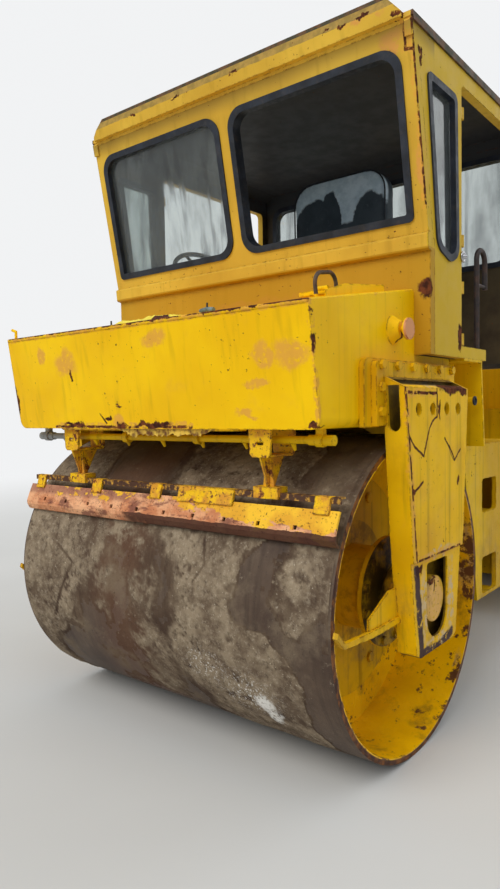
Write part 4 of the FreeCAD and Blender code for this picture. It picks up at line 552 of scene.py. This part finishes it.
# Cracked welds on the leg's face, as places along the machine and heights
LEG_CRACKS = [
    [(2.098, 1.453), (2.090, 1.410), (2.040, 1.362), (1.955, 1.321)],
    [(1.955, 1.321), (1.935, 1.370), (1.905, 1.425), (1.870, 1.460), (1.826, 1.475), (1.825, 1.592)],
    [(1.744, 1.385), (1.700, 1.345), (1.640, 1.284), (1.605, 1.312), (1.577, 1.329)],
    [(2.045, 1.183), (1.965, 1.215)],
]
LEG_SEAMS = [((x, LEG_FACE_Y, z), (far_x, LEG_FACE_Y, far_z)) for line in LEG_CRACKS for (x, z), (far_x, far_z) in zip(line, line[1:])]
LEG_BORDERS = [
    ((2.005, 1.05, 0.86), (1.955, 1.05, 0.52)), ((1.955, 1.05, 0.505), (1.80, 1.05, 0.492)),
    ((1.80, 1.05, 0.492), (1.655, 1.05, 0.52)),
]
FLAKED_LEG = [
    (1.935, 1.05, 0.70, 0.05, 0.1, 0.20), (1.66, 1.05, 0.68, 0.04, 0.1, 0.22), (1.80, 1.05, 0.525, 0.16, 0.1, 0.04),
    (1.78, 1.062, 0.905, 0.22, 0.1, 0.025), (1.80, 1.055, 1.62, 0.25, 0.05, 0.03),
]
CAP_FADED = [(1.8, 1.03, 0.70, 0.13, 0.03, 0.13), (1.8, -1.03, 0.70, 0.13, 0.03, 0.13)]
CAP_RUSTY = [(1.80, 1.035, 0.785, 0.022, 0.02, 0.012), (1.79, 1.035, 0.755, 0.010, 0.02, 0.03), (1.83, 1.035, 0.775, 0.03, 0.02, 0.014)]
FADED_CAB = [
    (1.89, 0.90, 3.01, 0.1, 0.07, 0.07), (1.90, 0.80, 3.14, 0.1, 0.16, 0.02), (1.747, 0.0, 2.05, 0.1, 0.5, 0.05),
    (1.80, 0.985, 2.55, 0.06, 0.03, 0.16),
]
RUSTY_CAB = [
    (1.833, 1.0, 2.957, 0.012, 0.02, 0.05), (1.855, 1.0, 2.985, 0.02, 0.02, 0.025), (1.895, 0.88, 2.975, 0.03, 0.035, 0.012),
    (1.955, 0.79, 3.142, 0.03, 0.035, 0.010), (1.955, 0.70, 3.138, 0.03, 0.03, 0.008), (1.955, 0.62, 3.140, 0.03, 0.02, 0.006),
    (1.955, 0.10, 3.140, 0.03, 0.03, 0.008), (1.955, -0.30, 3.138, 0.03, 0.04, 0.006), (1.955, -0.62, 3.140, 0.03, 0.03, 0.008),
    (1.93, 0.94, 3.10, 0.05, 0.03, 0.012), (1.42, 1.0, 1.84, 0.03, 0.03, 0.07), (1.75, 0.98, 2.03, 0.03, 0.05, 0.05),
]
CAB_CRACKS = [
    ((1.935, 0.962, 3.10), (1.899, 0.962, 2.975)), ((1.899, 0.962, 2.975), (1.898, 1.0, 2.968)),
    ((1.920, 1.0, 3.07), (1.905, 1.0, 3.00)), ((1.905, 1.0, 3.00), (1.866, 1.0, 2.79)),
    ((1.866, 1.0, 2.79), (1.786, 1.0, 2.37)),
]
WORN_SEAT = [
    (1.0, -0.05, 2.55, 0.4, 0.17, 0.225), (1.0, 0.065, 2.60, 0.4, 0.075, 0.205), (1.0, 0.325, 2.50, 0.4, 0.13, 0.26),
    (1.0, 0.11, 2.30, 0.4, 0.60, 0.31),
]

materials = {
    "tank": painted("paint_tank", srgb(252, 204, 0), srgb(238, 184, 0), 0.44, 0.3, 0.9, faded=FADED_TANK,
                    rusty=RUSTY_TANK, cracks=TANK_EDGES, seams=TANK_SCRATCHES, strips=tank_strips, turned=True),
    "leg": painted("paint_leg", srgb(240, 190, 4), srgb(212, 156, 6), 0.5, 0.7, 0.9, rusty=RUSTY_LEG,
                   cracks=LEG_EDGES, seams=LEG_SEAMS, flaked=FLAKED_LEG, purple=LEG_BORDERS, strips=leg_hollow_grime_and_shade,
                   mirrored=True),
    "cab": painted("paint_cab", srgb(224, 182, 64), srgb(202, 158, 50), 0.45, 0.35, 0.75, -1.0, faded=FADED_CAB,
                   rusty=RUSTY_CAB, cracks=CAB_CRACKS, strips=cab_strips, fade=srgb(216, 152, 76), inside=True),
    "frame": painted("paint_frame", srgb(232, 188, 8), srgb(206, 160, 8), 0.55, 0.7, 0.8),
    "bar": painted("paint_bar", srgb(232, 188, 8), srgb(206, 160, 8), 0.55, 0.7, 0.8, strips=bar_strips, turned=True),
    "hub": painted("paint_hub", srgb(226, 178, 10), srgb(190, 146, 10), 0.5, 0.9, 0.6, 0.2, strips=bearing_grease_and_shade),
    "bearing": painted("paint_bearing", srgb(216, 170, 12), srgb(176, 132, 14), 0.6, 0.9, 0.7, 0.2, faded=CAP_FADED,
                       fade=srgb(226, 176, 104), rusty=CAP_RUSTY, strips=bearing_grease_and_shade),
    "hood": painted("paint_hood", srgb(238, 190, 16), srgb(218, 166, 12), 0.4, 0.4, 0.6),
    "scraper": rusted("scraper_rust"),
    "drum": steel_drum("drum_steel"),
    "rubber": plain("seal_rubber", srgb(20, 24, 32), srgb(38, 44, 56), 0.5, 12.0, 0.0006, dust=0.15),
    "glass": glass("dirty_glass"),
    "dark": plain("dark_metal", srgb(36, 33, 30), srgb(58, 51, 44), 0.65, 6.0, dust=0.4),
    "rail": plain("rail_steel", srgb(44, 40, 40), srgb(78, 54, 42), 0.55, 18.0, 0.0008),
    "chrome": plain("rod_chrome", srgb(190, 190, 192), srgb(160, 160, 162), 0.22, 6.0, 0.0001, 1.0),
    "crust": soil_crust("soil_crust"),
    "vinyl": seat_vinyl("seat_vinyl"),
    "weld": plain("weld_rust", srgb(92, 48, 28), srgb(54, 28, 20), 0.85, 40.0, 0.001),
    "scales": plain("scale_paint", srgb(226, 186, 70), srgb(98, 56, 22), 0.75, 34.0, 0.001),
    "plug": plain("plug_grey", srgb(118, 136, 138), srgb(80, 94, 92), 0.6, 20.0, 0.001),
    "sheet": plain("sheet_paint", srgb(238, 224, 78), srgb(222, 204, 66), 0.5, 22.0, 0.001, dust=0.3),
    "engine": plain("engine_grey", srgb(70, 68, 62), srgb(44, 42, 38), 0.6, 7.0, dust=0.4),
}

FINISH = {
    "tank": ["front_tank", "rear_tank", "front_tank_fittings", "rear_tank_fittings", "front_tank_lid", "rear_tank_lid"],
    "leg": ["front_leg_left", "front_leg_right", "rear_leg_left", "rear_leg_right"],
    "cab": ["cab_front_wall", "cab_side_left", "cab_side_right", "cab_rear_wall", "cab_roof"],
    "frame": ["front_frame", "front_lower_frame", "front_side_plates", "rear_frame", "rear_side_plates",
              "hitch_knuckle", "steering_barrel_left",
              "steering_barrel_right"],
    "bar": ["front_spray_bar", "rear_spray_bar"],
    "hub": ["front_drum_hub", "rear_drum_hub"],
    "bearing": ["front_bearings", "rear_bearings"],
    "hood": ["engine_hood_walls", "engine_hood_lid"],
    "scraper": ["front_scraper", "rear_scraper"],
    "drum": ["front_drum_shell", "rear_drum_shell"],
    "rubber": ["window_seals"],
    "glass": ["window_glass"],
    "dark": ["seat_base", "steering_console", "cab_floor", "exhaust_pipe"],
    "rail": ["grab_rails"],
    "chrome": ["steering_rod_left", "steering_rod_right"],
    "engine": ["engine_block"],
}


def dress(piece, key):
    piece.data.materials.clear()
    piece.data.materials.append(materials[key])


for key, names in FINISH.items():
    for name in names:
        dress(nodes[name], key)


def make_camera():
    forward = Vector((math.cos(CAMERA_YAW) * math.cos(CAMERA_PITCH), math.sin(CAMERA_YAW) * math.cos(CAMERA_PITCH),
                      math.sin(CAMERA_PITCH)))
    right = Vector((math.sin(CAMERA_YAW), -math.cos(CAMERA_YAW), 0))
    up = right.cross(forward)
    right_rolled = right * math.cos(CAMERA_ROLL) + up * math.sin(CAMERA_ROLL)
    up_rolled = up * math.cos(CAMERA_ROLL) - right * math.sin(CAMERA_ROLL)
    data = bpy.data.cameras.new("camera")
    data.lens = LENS_MM
    data.sensor_width = SENSOR_MM
    camera = bpy.data.objects.new("camera", data)
    bpy.context.scene.collection.objects.link(camera)
    turn = Matrix((right_rolled, up_rolled, -forward)).transposed()
    camera.matrix_world = Matrix.Translation(CAMERA_PLACE) @ turn.to_4x4()
    bpy.context.scene.camera = camera


def lamp(name, way, soft, strength, colour):
    """Far lamp that shines along way with soft shadows."""
    data = bpy.data.lights.new(name, "SUN")
    data.angle = math.radians(soft)
    data.energy = strength
    data.color = colour
    piece = bpy.data.objects.new(name, data)
    bpy.context.scene.collection.objects.link(piece)
    piece.rotation_euler = Vector(way).to_track_quat("-Z", "Y").to_euler()


def pale_if_seen(tree, light, seen):
    """Mixes light with what the camera sees, also through glass."""
    path = tree.nodes.new("ShaderNodeLightPath")
    total = None
    for name in ("Is Camera Ray", "Is Transmission Ray"):
        if total is None:
            total = path.outputs[name]
            continue
        both = tree.nodes.new("ShaderNodeMath")
        both.operation = "MAXIMUM"
        tree.links.new(total, both.inputs[0])
        tree.links.new(path.outputs[name], both.inputs[1])
        total = both.outputs[0]
    mixed = tree.nodes.new("ShaderNodeMixShader")
    tree.links.new(total, mixed.inputs[0])
    tree.links.new(light, mixed.inputs[1])
    tree.links.new(seen, mixed.inputs[2])
    return mixed.outputs[0]


SKY_SEEN = (0.93, 0.94, 0.95, 1.0)
SKY_SEEN_LEVEL = 0.95


def make_stage():
    world = bpy.data.worlds.new("studio")
    bpy.context.scene.world = world
    world.use_nodes = True
    tree = world.node_tree
    tree.nodes.clear()
    ambient = tree.nodes.new("ShaderNodeBackground")
    ambient.inputs[0].default_value = (0.90, 0.95, 1.0, 1.0)
    # Less light comes from the machine's left, where a wall would stand
    way = tree.nodes.new("ShaderNodeTexCoord").outputs["Generated"]
    part = tree.nodes.new("ShaderNodeSeparateXYZ")
    tree.links.new(way, part.inputs[0])
    level = tree.nodes.new("ShaderNodeMapRange")
    for name, number in (("From Min", 0.0), ("From Max", 0.9), ("To Min", 0.64), ("To Max", 0.24)):
        level.inputs[name].default_value = number
    tree.links.new(part.outputs["Y"], level.inputs["Value"])
    tree.links.new(level.outputs["Result"], ambient.inputs[1])
    seen = tree.nodes.new("ShaderNodeBackground")
    seen.inputs[0].default_value = SKY_SEEN
    seen.inputs[1].default_value = SKY_SEEN_LEVEL
    output = tree.nodes.new("ShaderNodeOutputWorld")
    tree.links.new(pale_if_seen(tree, ambient.outputs[0], seen.outputs[0]), output.inputs[0])
    bpy.ops.mesh.primitive_plane_add(size=120, location=(0, 0, -0.002))
    floor = bpy.context.object
    floor.name = "floor"
    g = Graph("floor_pale")
    g.finish(g.mix(g.noise(0.8, 3), srgb(206, 205, 202), srgb(198, 197, 194)), 0.9, shine=0.1)
    # Far off the floor has the tone of the backdrop, so no horizon is seen
    far = g.span(g.vector("LENGTH", g.place), 4.5, 14.0)
    haze = g.add("ShaderNodeEmission")
    haze.inputs["Color"].default_value = SKY_SEEN
    haze.inputs["Strength"].default_value = SKY_SEEN_LEVEL
    seen = g.math("MULTIPLY", far, g.add("ShaderNodeLightPath").outputs["Is Camera Ray"])
    blend = g.add("ShaderNodeMixShader")
    surface = next(node for node in g.tree.nodes if node.type == "OUTPUT_MATERIAL").inputs["Surface"]
    g.feed(blend.inputs[0], seen)
    g.feed(blend.inputs[1], g.shader.outputs[0])
    g.feed(blend.inputs[2], haze.outputs[0])
    g.feed(surface, blend.outputs[0])
    floor.data.materials.append(g.material)
    lamp("key", (-0.78, 0.08, -0.72), 40, 1.74, (1.0, 0.98, 0.94))
    lamp("fill", (-0.15, -0.68, -0.75), 55, 0.66, (0.94, 0.97, 1.0))
    lamp("back", (0.8, -0.3, -0.6), 50, 0.5, (1.0, 1.0, 1.0))
    bpy.context.scene.view_settings.view_transform = "Standard"


def new_piece(name, verts, faces, key, body, smooth=True):
    """Mesh piece in the row frame, dressed and riding on a body."""
    mesh = bpy.data.meshes.new(name)
    mesh.from_pydata([tuple(v) for v in verts], [], faces)
    mesh.validate()
    piece = bpy.data.objects.new(name, mesh)
    bpy.context.scene.collection.objects.link(piece)
    for polygon in mesh.polygons:
        polygon.use_smooth = smooth
    mesh.materials.append(materials[key])
    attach(piece, body)
    return piece


def tube(name, paths, radius, key, body, closed=False):
    """Round bars along smooth lines through points, as one mesh piece."""
    curve = bpy.data.curves.new(name, "CURVE")
    curve.dimensions = "3D"
    curve.bevel_depth = radius
    curve.bevel_resolution = 3
    curve.use_fill_caps = not closed
    for points in paths:
        spline = curve.splines.new("POLY")
        spline.points.add(len(points) - 1)
        for target, point in zip(spline.points, points):
            target.co = (*point, 1.0)
        spline.use_cyclic_u = closed
    holder = bpy.data.objects.new(name + "_line", curve)
    bpy.context.scene.collection.objects.link(holder)
    bpy.context.view_layer.update()
    mesh = bpy.data.meshes.new_from_object(holder)
    bpy.data.objects.remove(holder)
    piece = bpy.data.objects.new(name, mesh)
    bpy.context.scene.collection.objects.link(piece)
    mesh.materials.clear()
    mesh.materials.append(materials[key])
    for polygon in mesh.polygons:
        polygon.use_smooth = True
    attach(piece, body)
    return piece


def apply_modifier(piece, name):
    bpy.context.view_layer.objects.active = piece
    bpy.ops.object.select_all(action="DESELECT")
    piece.select_set(True)
    bpy.ops.object.modifier_apply(modifier=name)


def rounded_outline(half_width, low, high, low_round, high_round):
    """Corners of an upright outline with round corners, as (across, up)."""
    points = []
    rows = ((half_width - low_round, low + low_round, low_round, -90), (half_width - high_round, high - high_round,
            high_round, 0), (high_round - half_width, high - high_round, high_round, 90),
            (low_round - half_width, low + low_round, low_round, 180))
    for across, up, radius, start in rows:
        for step in range(7):
            angle = math.radians(start + 15 * step)
            points.append((across + radius * math.cos(angle), up + radius * math.sin(angle)))
    return points


def pad(name, points, depth, place, turn, pressure, cap, channels):
    """Stuffed pad: a prism of the outline, remeshed, swelled by a cloth run, then its seams pressed in."""
    front = [Vector((0, u, v)) for u, v in points]
    back = [Vector((depth, u, v)) for u, v in points]
    count = len(points)
    faces = [tuple(range(count))[::-1], tuple(range(count, 2 * count))]
    faces += [(i, (i + 1) % count, count + (i + 1) % count, count + i) for i in range(count)]
    mesh = bpy.data.meshes.new(name)
    mesh.from_pydata(front + back, [], faces)
    piece = bpy.data.objects.new(name, mesh)
    bpy.context.scene.collection.objects.link(piece)
    remesh = piece.modifiers.new("remesh", "REMESH")
    remesh.mode = "VOXEL"
    remesh.voxel_size = 0.010
    apply_modifier(piece, "remesh")
    smooth = piece.modifiers.new("smooth", "SMOOTH")
    smooth.factor = 0.5
    smooth.iterations = 8
    apply_modifier(piece, "smooth")
    before = [v.co.copy() for v in piece.data.vertices]
    cloth = piece.modifiers.new("cloth", "CLOTH")
    cloth.settings.quality = 5
    cloth.settings.use_pressure = True
    cloth.settings.uniform_pressure_force = pressure
    cloth.settings.effector_weights.gravity = 0.0
    cloth.point_cache.frame_start = 1
    cloth.point_cache.frame_end = 20
    for step in range(1, 21):
        bpy.context.scene.frame_set(step)
    apply_modifier(piece, "cloth")
    bpy.context.scene.frame_set(1)
    for vertex, old in zip(piece.data.vertices, before):
        move = vertex.co - old
        if move.length > cap:
            vertex.co = old + move.normalized() * cap
    for vertex in piece.data.vertices:
        # Sewn channels: rows across the pad at the given heights
        for at in channels:
            near = math.exp(-(((vertex.co.z - at) / 0.011) ** 2))
            vertex.co.x += (0.013 if vertex.co.x < depth / 2 else -0.013) * near
    for polygon in piece.data.polygons:
        polygon.use_smooth = True
    piece.data.transform(Matrix.Translation(place) @ turn)
    piece.data.materials.append(materials["vinyl"])
    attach(piece, "front_half")
    return piece


SEAT_Y = 0.11


def make_seat():
    """Seat back and cushion in the space of their solid, with piping round their faces."""
    back_low, back_high = 2.262, 2.880
    outline = rounded_outline(0.318, back_low, back_high, 0.06, 0.13)
    back = pad("seat_back", outline, -0.106, Vector((1.029, SEAT_Y, 0)), Matrix.Identity(4), 4.0, 0.011, (2.40,))
    turn = Matrix.Rotation(math.radians(90), 4, "Y")
    # The cushion's outline lies flat: its height axis runs along the machine
    cushion_outline = rounded_outline(0.318, 0.0, 0.395, 0.06, 0.08)
    cushion = pad("seat_cushion", cushion_outline, -0.070, Vector((1.036, SEAT_Y, 2.188)), turn, 4.0, 0.010,
                  (0.13, 0.26))
    rim = rounded_outline(0.306, back_low + 0.012, back_high - 0.012, 0.06, 0.12)
    tube("seat_piping", [[(1.033, SEAT_Y + u, v) for u, v in rim]], 0.0045, "rubber", "front_half", True)
    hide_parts("driver_seat")
    return back, cushion


# Edges of the soil on the drum: places across it at angles round it, where 0 degrees looks forward
MAIN_RIGHT = [(-180, 0.60), (-110, 0.72), (-46, 0.80), (-20, 0.79), (-10, 0.72), (-4, 0.64), (-2, 0.50), (3, 0.47), (11, 0.49),
              (18, 0.54), (26, 0.60), (60, 0.70), (120, 0.52), (180, 0.60)]
MAIN_LEFT = [(-180, 0.0), (-90, 0.15), (-40, 0.21), (-23, 0.06), (1, 0.15), (14, 0.11), (26, 0.02), (70, -0.10), (130, 0.12),
             (180, 0.0)]
SIDE_RIGHT = [(-180, -0.62), (-90, -0.80), (-35, -0.83), (-18, -0.60), (-8, -0.46), (9, -0.42), (25, -0.45), (80, -0.60),
              (130, -0.50), (180, -0.62)]
CRACKS = [[(13, -0.67), (7, -0.54), (-2, -0.61), (-18, -0.73)], [(24, 0.30), (15, 0.33), (8, 0.27)],
          [(100, 0.20), (118, 0.35), (131, 0.28)]]
PATCH = (6.0, 0.80, 9.5, 0.062)


def along_edge(edge, angle):
    for (first, low), (last, high) in zip(edge, edge[1:]):
        if angle <= last:
            return low + (high - low) * (angle - first) / (last - first)
    return edge[-1][1]


def ramp(value, low, high):
    share = min(1.0, max(0.0, (value - low) / (high - low)))
    return share * share * (3.0 - 2.0 * share)


def crack_depth(y, angle):
    """From 0 to 1 in the gaps where the soil has broken."""
    spot = Vector((math.radians(angle) * DRUM_RADIUS, y))
    nearest = 1.0
    for line in CRACKS:
        for (first, low), (last, high) in zip(line, line[1:]):
            start = Vector((math.radians(first) * DRUM_RADIUS, low))
            way = Vector((math.radians(last) * DRUM_RADIUS, high)) - start
            share = min(1.0, max(0.0, (spot - start).dot(way) / way.length_squared))
            nearest = min(nearest, (spot - start - way * share).length)
    return 1.0 - ramp(nearest, 0.004, 0.012)


def drum_cover(y, angle, point):
    """How much soil lies on the drum at a place, from 0 to 1."""
    shake = noise.fractal(point * 6.0, 0.8, 2.1, 5)
    moved = y + 0.045 * shake
    main = ramp(moved, along_edge(MAIN_LEFT, angle) - 0.03, along_edge(MAIN_LEFT, angle) + 0.10)
    main *= 1.0 - ramp(moved, along_edge(MAIN_RIGHT, angle) - 0.010, along_edge(MAIN_RIGHT, angle) + 0.004)
    side = 1.0 - ramp(moved, along_edge(SIDE_RIGHT, angle) - 0.06, along_edge(SIDE_RIGHT, angle) + 0.02)
    off = math.hypot((angle - PATCH[0]) / PATCH[2], (moved - PATCH[1]) / PATCH[3])
    patch = 0.8 * (1.0 - ramp(off, 0.80, 1.0))
    broad = noise.fractal(point * 2.3 + Vector((4.1, 0.3, 2.2)), 0.8, 2.1, 6)
    thin = 0.55 * ramp(broad, 0.12, 0.45)
    return max(main, side * 0.9, patch, thin)


def make_crust(name, body, centre_x, facing):
    """Skin of dried soil on a drum, thickest in its bands, open where the steel shows."""
    around, across = 430, 200
    thick = 0.0046
    verts, faces, lift = [], [], []
    for i in range(around + 1):
        turn = -74 + 328 * i / around
        angle = math.radians(turn)
        measured = turn if turn <= 180 else turn - 360
        for j in range(across + 1):
            y = -DRUM_HALF + 0.012 + (2 * DRUM_HALF - 0.024) * j / across
            point = Vector((math.cos(angle) * DRUM_RADIUS, y, math.sin(angle) * DRUM_RADIUS))
            cover = drum_cover(y * facing, measured, point)
            rough = noise.fractal(point * 15.0, 0.55, 2.2, 6)
            fine = noise.fractal(point * 60.0, 0.6, 2.1, 3)
            height = cover * (0.60 + 0.55 * rough + 0.22 * fine) * (1.0 - 0.9 * crack_depth(y * facing, measured))
            height = min(1.0, max(0.0, height))
            lift.append(height)
            reach = DRUM_RADIUS + 0.0002 + thick * height
            verts.append((centre_x + facing * reach * math.cos(angle), y, DRUM_RADIUS + reach * math.sin(angle)))
    for i in range(around):
        for j in range(across):
            a = i * (across + 1) + j
            ring = (a, a + 1, a + across + 2, a + across + 1)
            if max(lift[v] for v in ring) > 0.02:
                faces.append(ring if facing < 0 else ring[::-1])
    used = sorted({v for face in faces for v in face})
    index = {v: i for i, v in enumerate(used)}
    piece = new_piece(name, [verts[v] for v in used], [tuple(index[v] for v in face) for face in faces], "crust", body)
    return piece


def weld(name, paths, body, radius=0.004):
    """Rusty weld beads or cracks along lines on a face."""
    wavy = []
    for points in paths:
        line = []
        for (start, end) in zip(points, points[1:]):
            start, end = Vector(start), Vector(end)
            steps = max(2, int((end - start).length / 0.012))
            for k in range(steps):
                spot = start.lerp(end, k / steps)
                shake = noise.noise_vector(spot * 11) * 0.012 + noise.noise_vector(spot * 50) * 0.004
                shake.y = 0
                line.append(spot + shake)
        line.append(Vector(points[-1]))
        wavy.append(line)
    piece = tube(name, wavy, radius, "weld", body)
    return piece


SEAM_RADIUS = 0.0035
SEAM_INSET = 0.0028


def make_leg_seams():
    """Cracked weld beads on the legs' faces."""
    for name, end, side, body in (("front_left", 1, 1, "front_half"), ("front_right", 1, -1, "front_half"),
                                  ("rear_left", -1, 1, "rear_half"), ("rear_right", -1, -1, "rear_half")):
        paths = [[(end * x, side * (LEG_FACE_Y - SEAM_INSET), z) for x, z in line] for line in LEG_CRACKS]
        weld("leg_seams_" + name, paths, body, SEAM_RADIUS)


def make_tank_flakes():
    """Rust scales that hang from the tank's eaten front edge, as thin ragged plates."""
    low_z, front_x, thick = 1.449, 2.494, 0.0025
    for number, (start, end, drop) in enumerate(((-0.20, 0.44, 0.034), (-0.62, -0.40, 0.012)), 1):
        steps = int((end - start) / 0.006)
        verts, faces = [], []
        for i in range(steps + 1):
            y = start + (end - start) * i / steps
            taper = min(1.0, 6.0 * min(i, steps - i) / steps)
            hem = drop * taper * (1.0 + 0.35 * noise.fractal(Vector((y * 38, 0.3, number)), 0.6, 2.1, 4))
            lean = 0.003 * noise.noise(Vector((y * 20, 2.0, 0.0)))
            for x, z in ((front_x, low_z), (front_x + lean, low_z - max(hem, 0.001)),
                         (front_x + lean - thick, low_z - max(hem, 0.001)), (front_x - thick, low_z)):
                verts.append((x, y, z))
        for i in range(steps):
            a, b = 4 * i, 4 * (i + 1)
            faces += [(a + k, a + (k + 1) % 4, b + (k + 1) % 4, b + k) for k in range(4)]
        faces += [(0, 3, 2, 1), tuple(4 * steps + k for k in range(4))]
        piece = new_piece("tank_flakes_%d" % number, verts, faces, "scales", "front_half", False)


def make_top_sheet():
    """Bent sheet with a rusty tear and a plug with its pin, along the tank's front top edge."""
    low_z, middle_x, thick = 1.910, 2.50, 0.0025
    for name, start, end, rise, key, slot_name in (("tank_top_sheet", -0.19, 0.28, 0.019, "sheet", "yellow_paint"),
                                                   ("tank_top_tear", 0.068, 0.180, 0.018, "weld", "rusty_paint")):
        steps = int((end - start) / 0.006)
        verts, faces = [], []
        front = middle_x + (0.004 if key == "weld" else 0.0)
        for i in range(steps + 1):
            share = i / steps
            y = start + (end - start) * share
            taper = min(1.0, 12.0 * share, 3.5 * (1.0 - share)) if key == "sheet" else min(1.0, 6.0 * min(share, 1.0 - share))
            hem = rise * taper * (0.85 + 0.35 * noise.fractal(Vector((y * 22, 5.3, rise * 90)), 0.6, 2.1, 4))
            lean = 0.010 * taper
            for x, z in ((front, low_z - 0.004), (front - lean, low_z + max(hem, 0.001)),
                         (front - lean - thick, low_z + max(hem, 0.001)), (front - thick, low_z - 0.004)):
                verts.append((x, y, z))
        for i in range(steps):
            a, b = 4 * i, 4 * (i + 1)
            faces += [(a + k, b + k, b + (k + 1) % 4, a + (k + 1) % 4) for k in range(4)]
        faces += [(0, 1, 2, 3), tuple(4 * steps + 3 - k for k in range(4))]
        new_piece(name, verts, faces, key, "front_half", False)
    plug = tube("tank_top_plug", [[(2.47, 0.330, 1.921), (2.47, 0.365, 1.926), (2.47, 0.400, 1.921)]], 0.011, "plug",
                "front_half")
    pin = tube("tank_top_pin", [[(2.47, 0.365, 1.930), (2.47, 0.366, 1.953)], [(2.47, -0.23, 1.905), (2.47, -0.23, 1.936)]], 0.004, "engine", "front_half")


def lathed(name, centre, profile, key, body, turns=28):
    """Turned fitting on the Y axis; the profile's corners are (radius, along)."""
    verts, faces = [], []
    for radius, along in profile:
        for k in range(turns):
            angle = 2 * math.pi * k / turns
            verts.append((centre[0] + radius * math.cos(angle), centre[1] + along, centre[2] + radius * math.sin(angle)))
    for row in range(len(profile) - 1):
        for k in range(turns):
            a, b = row * turns + k, row * turns + (k + 1) % turns
            faces.append((a, b, b + turns, a + turns))
    faces.append(tuple(range(turns))[::-1])
    faces.append(tuple(range((len(profile) - 1) * turns, len(profile) * turns)))
    piece = new_piece(name, verts, faces, key, body)
    return piece


def make_fittings():
    """Small things on the cab and the frame: lock striker, the stub's plug and its black ring."""
    striker = [(0.004, 0.0), (0.024, 0.0), (0.026, 0.003), (0.026, 0.007), (0.023, 0.010), (0.016, 0.010), (0.013, 0.006),
               (0.009, 0.006), (0.007, 0.022), (0.003, 0.024)]
    lathed("lock_striker", (1.392, 1.0, 2.216), striker, "chrome", "front_half")
    plug = [(0.0125, -0.011), (0.0125, -0.004), (0.010, -0.003), (0.006, -0.004), (0.003, -0.004)]
    ring = [(0.014, 0.0), (0.0225, 0.0), (0.0235, 0.003), (0.0225, 0.007), (0.0165, 0.009), (0.0145, 0.007), (0.0140, -0.004)]
    for side in (-1, 1):
        place = (1.215, side * 0.990, 1.546)
        lathed("stub_plug_" + ("left" if side > 0 else "right"), place, [(r, side * a) for r, a in plug], "engine",
               "front_half")
        lathed("stub_ring_" + ("left" if side > 0 else "right"), place, [(r, side * a) for r, a in ring], "rubber",
               "front_half")


make_camera()
make_stage()
make_seat()
make_crust("front_drum_crust", "front_drum", AXLE_X, 1)
make_crust("rear_drum_crust", "rear_drum", -AXLE_X, -1)
make_leg_seams()
make_tank_flakes()
make_top_sheet()
make_fittings()
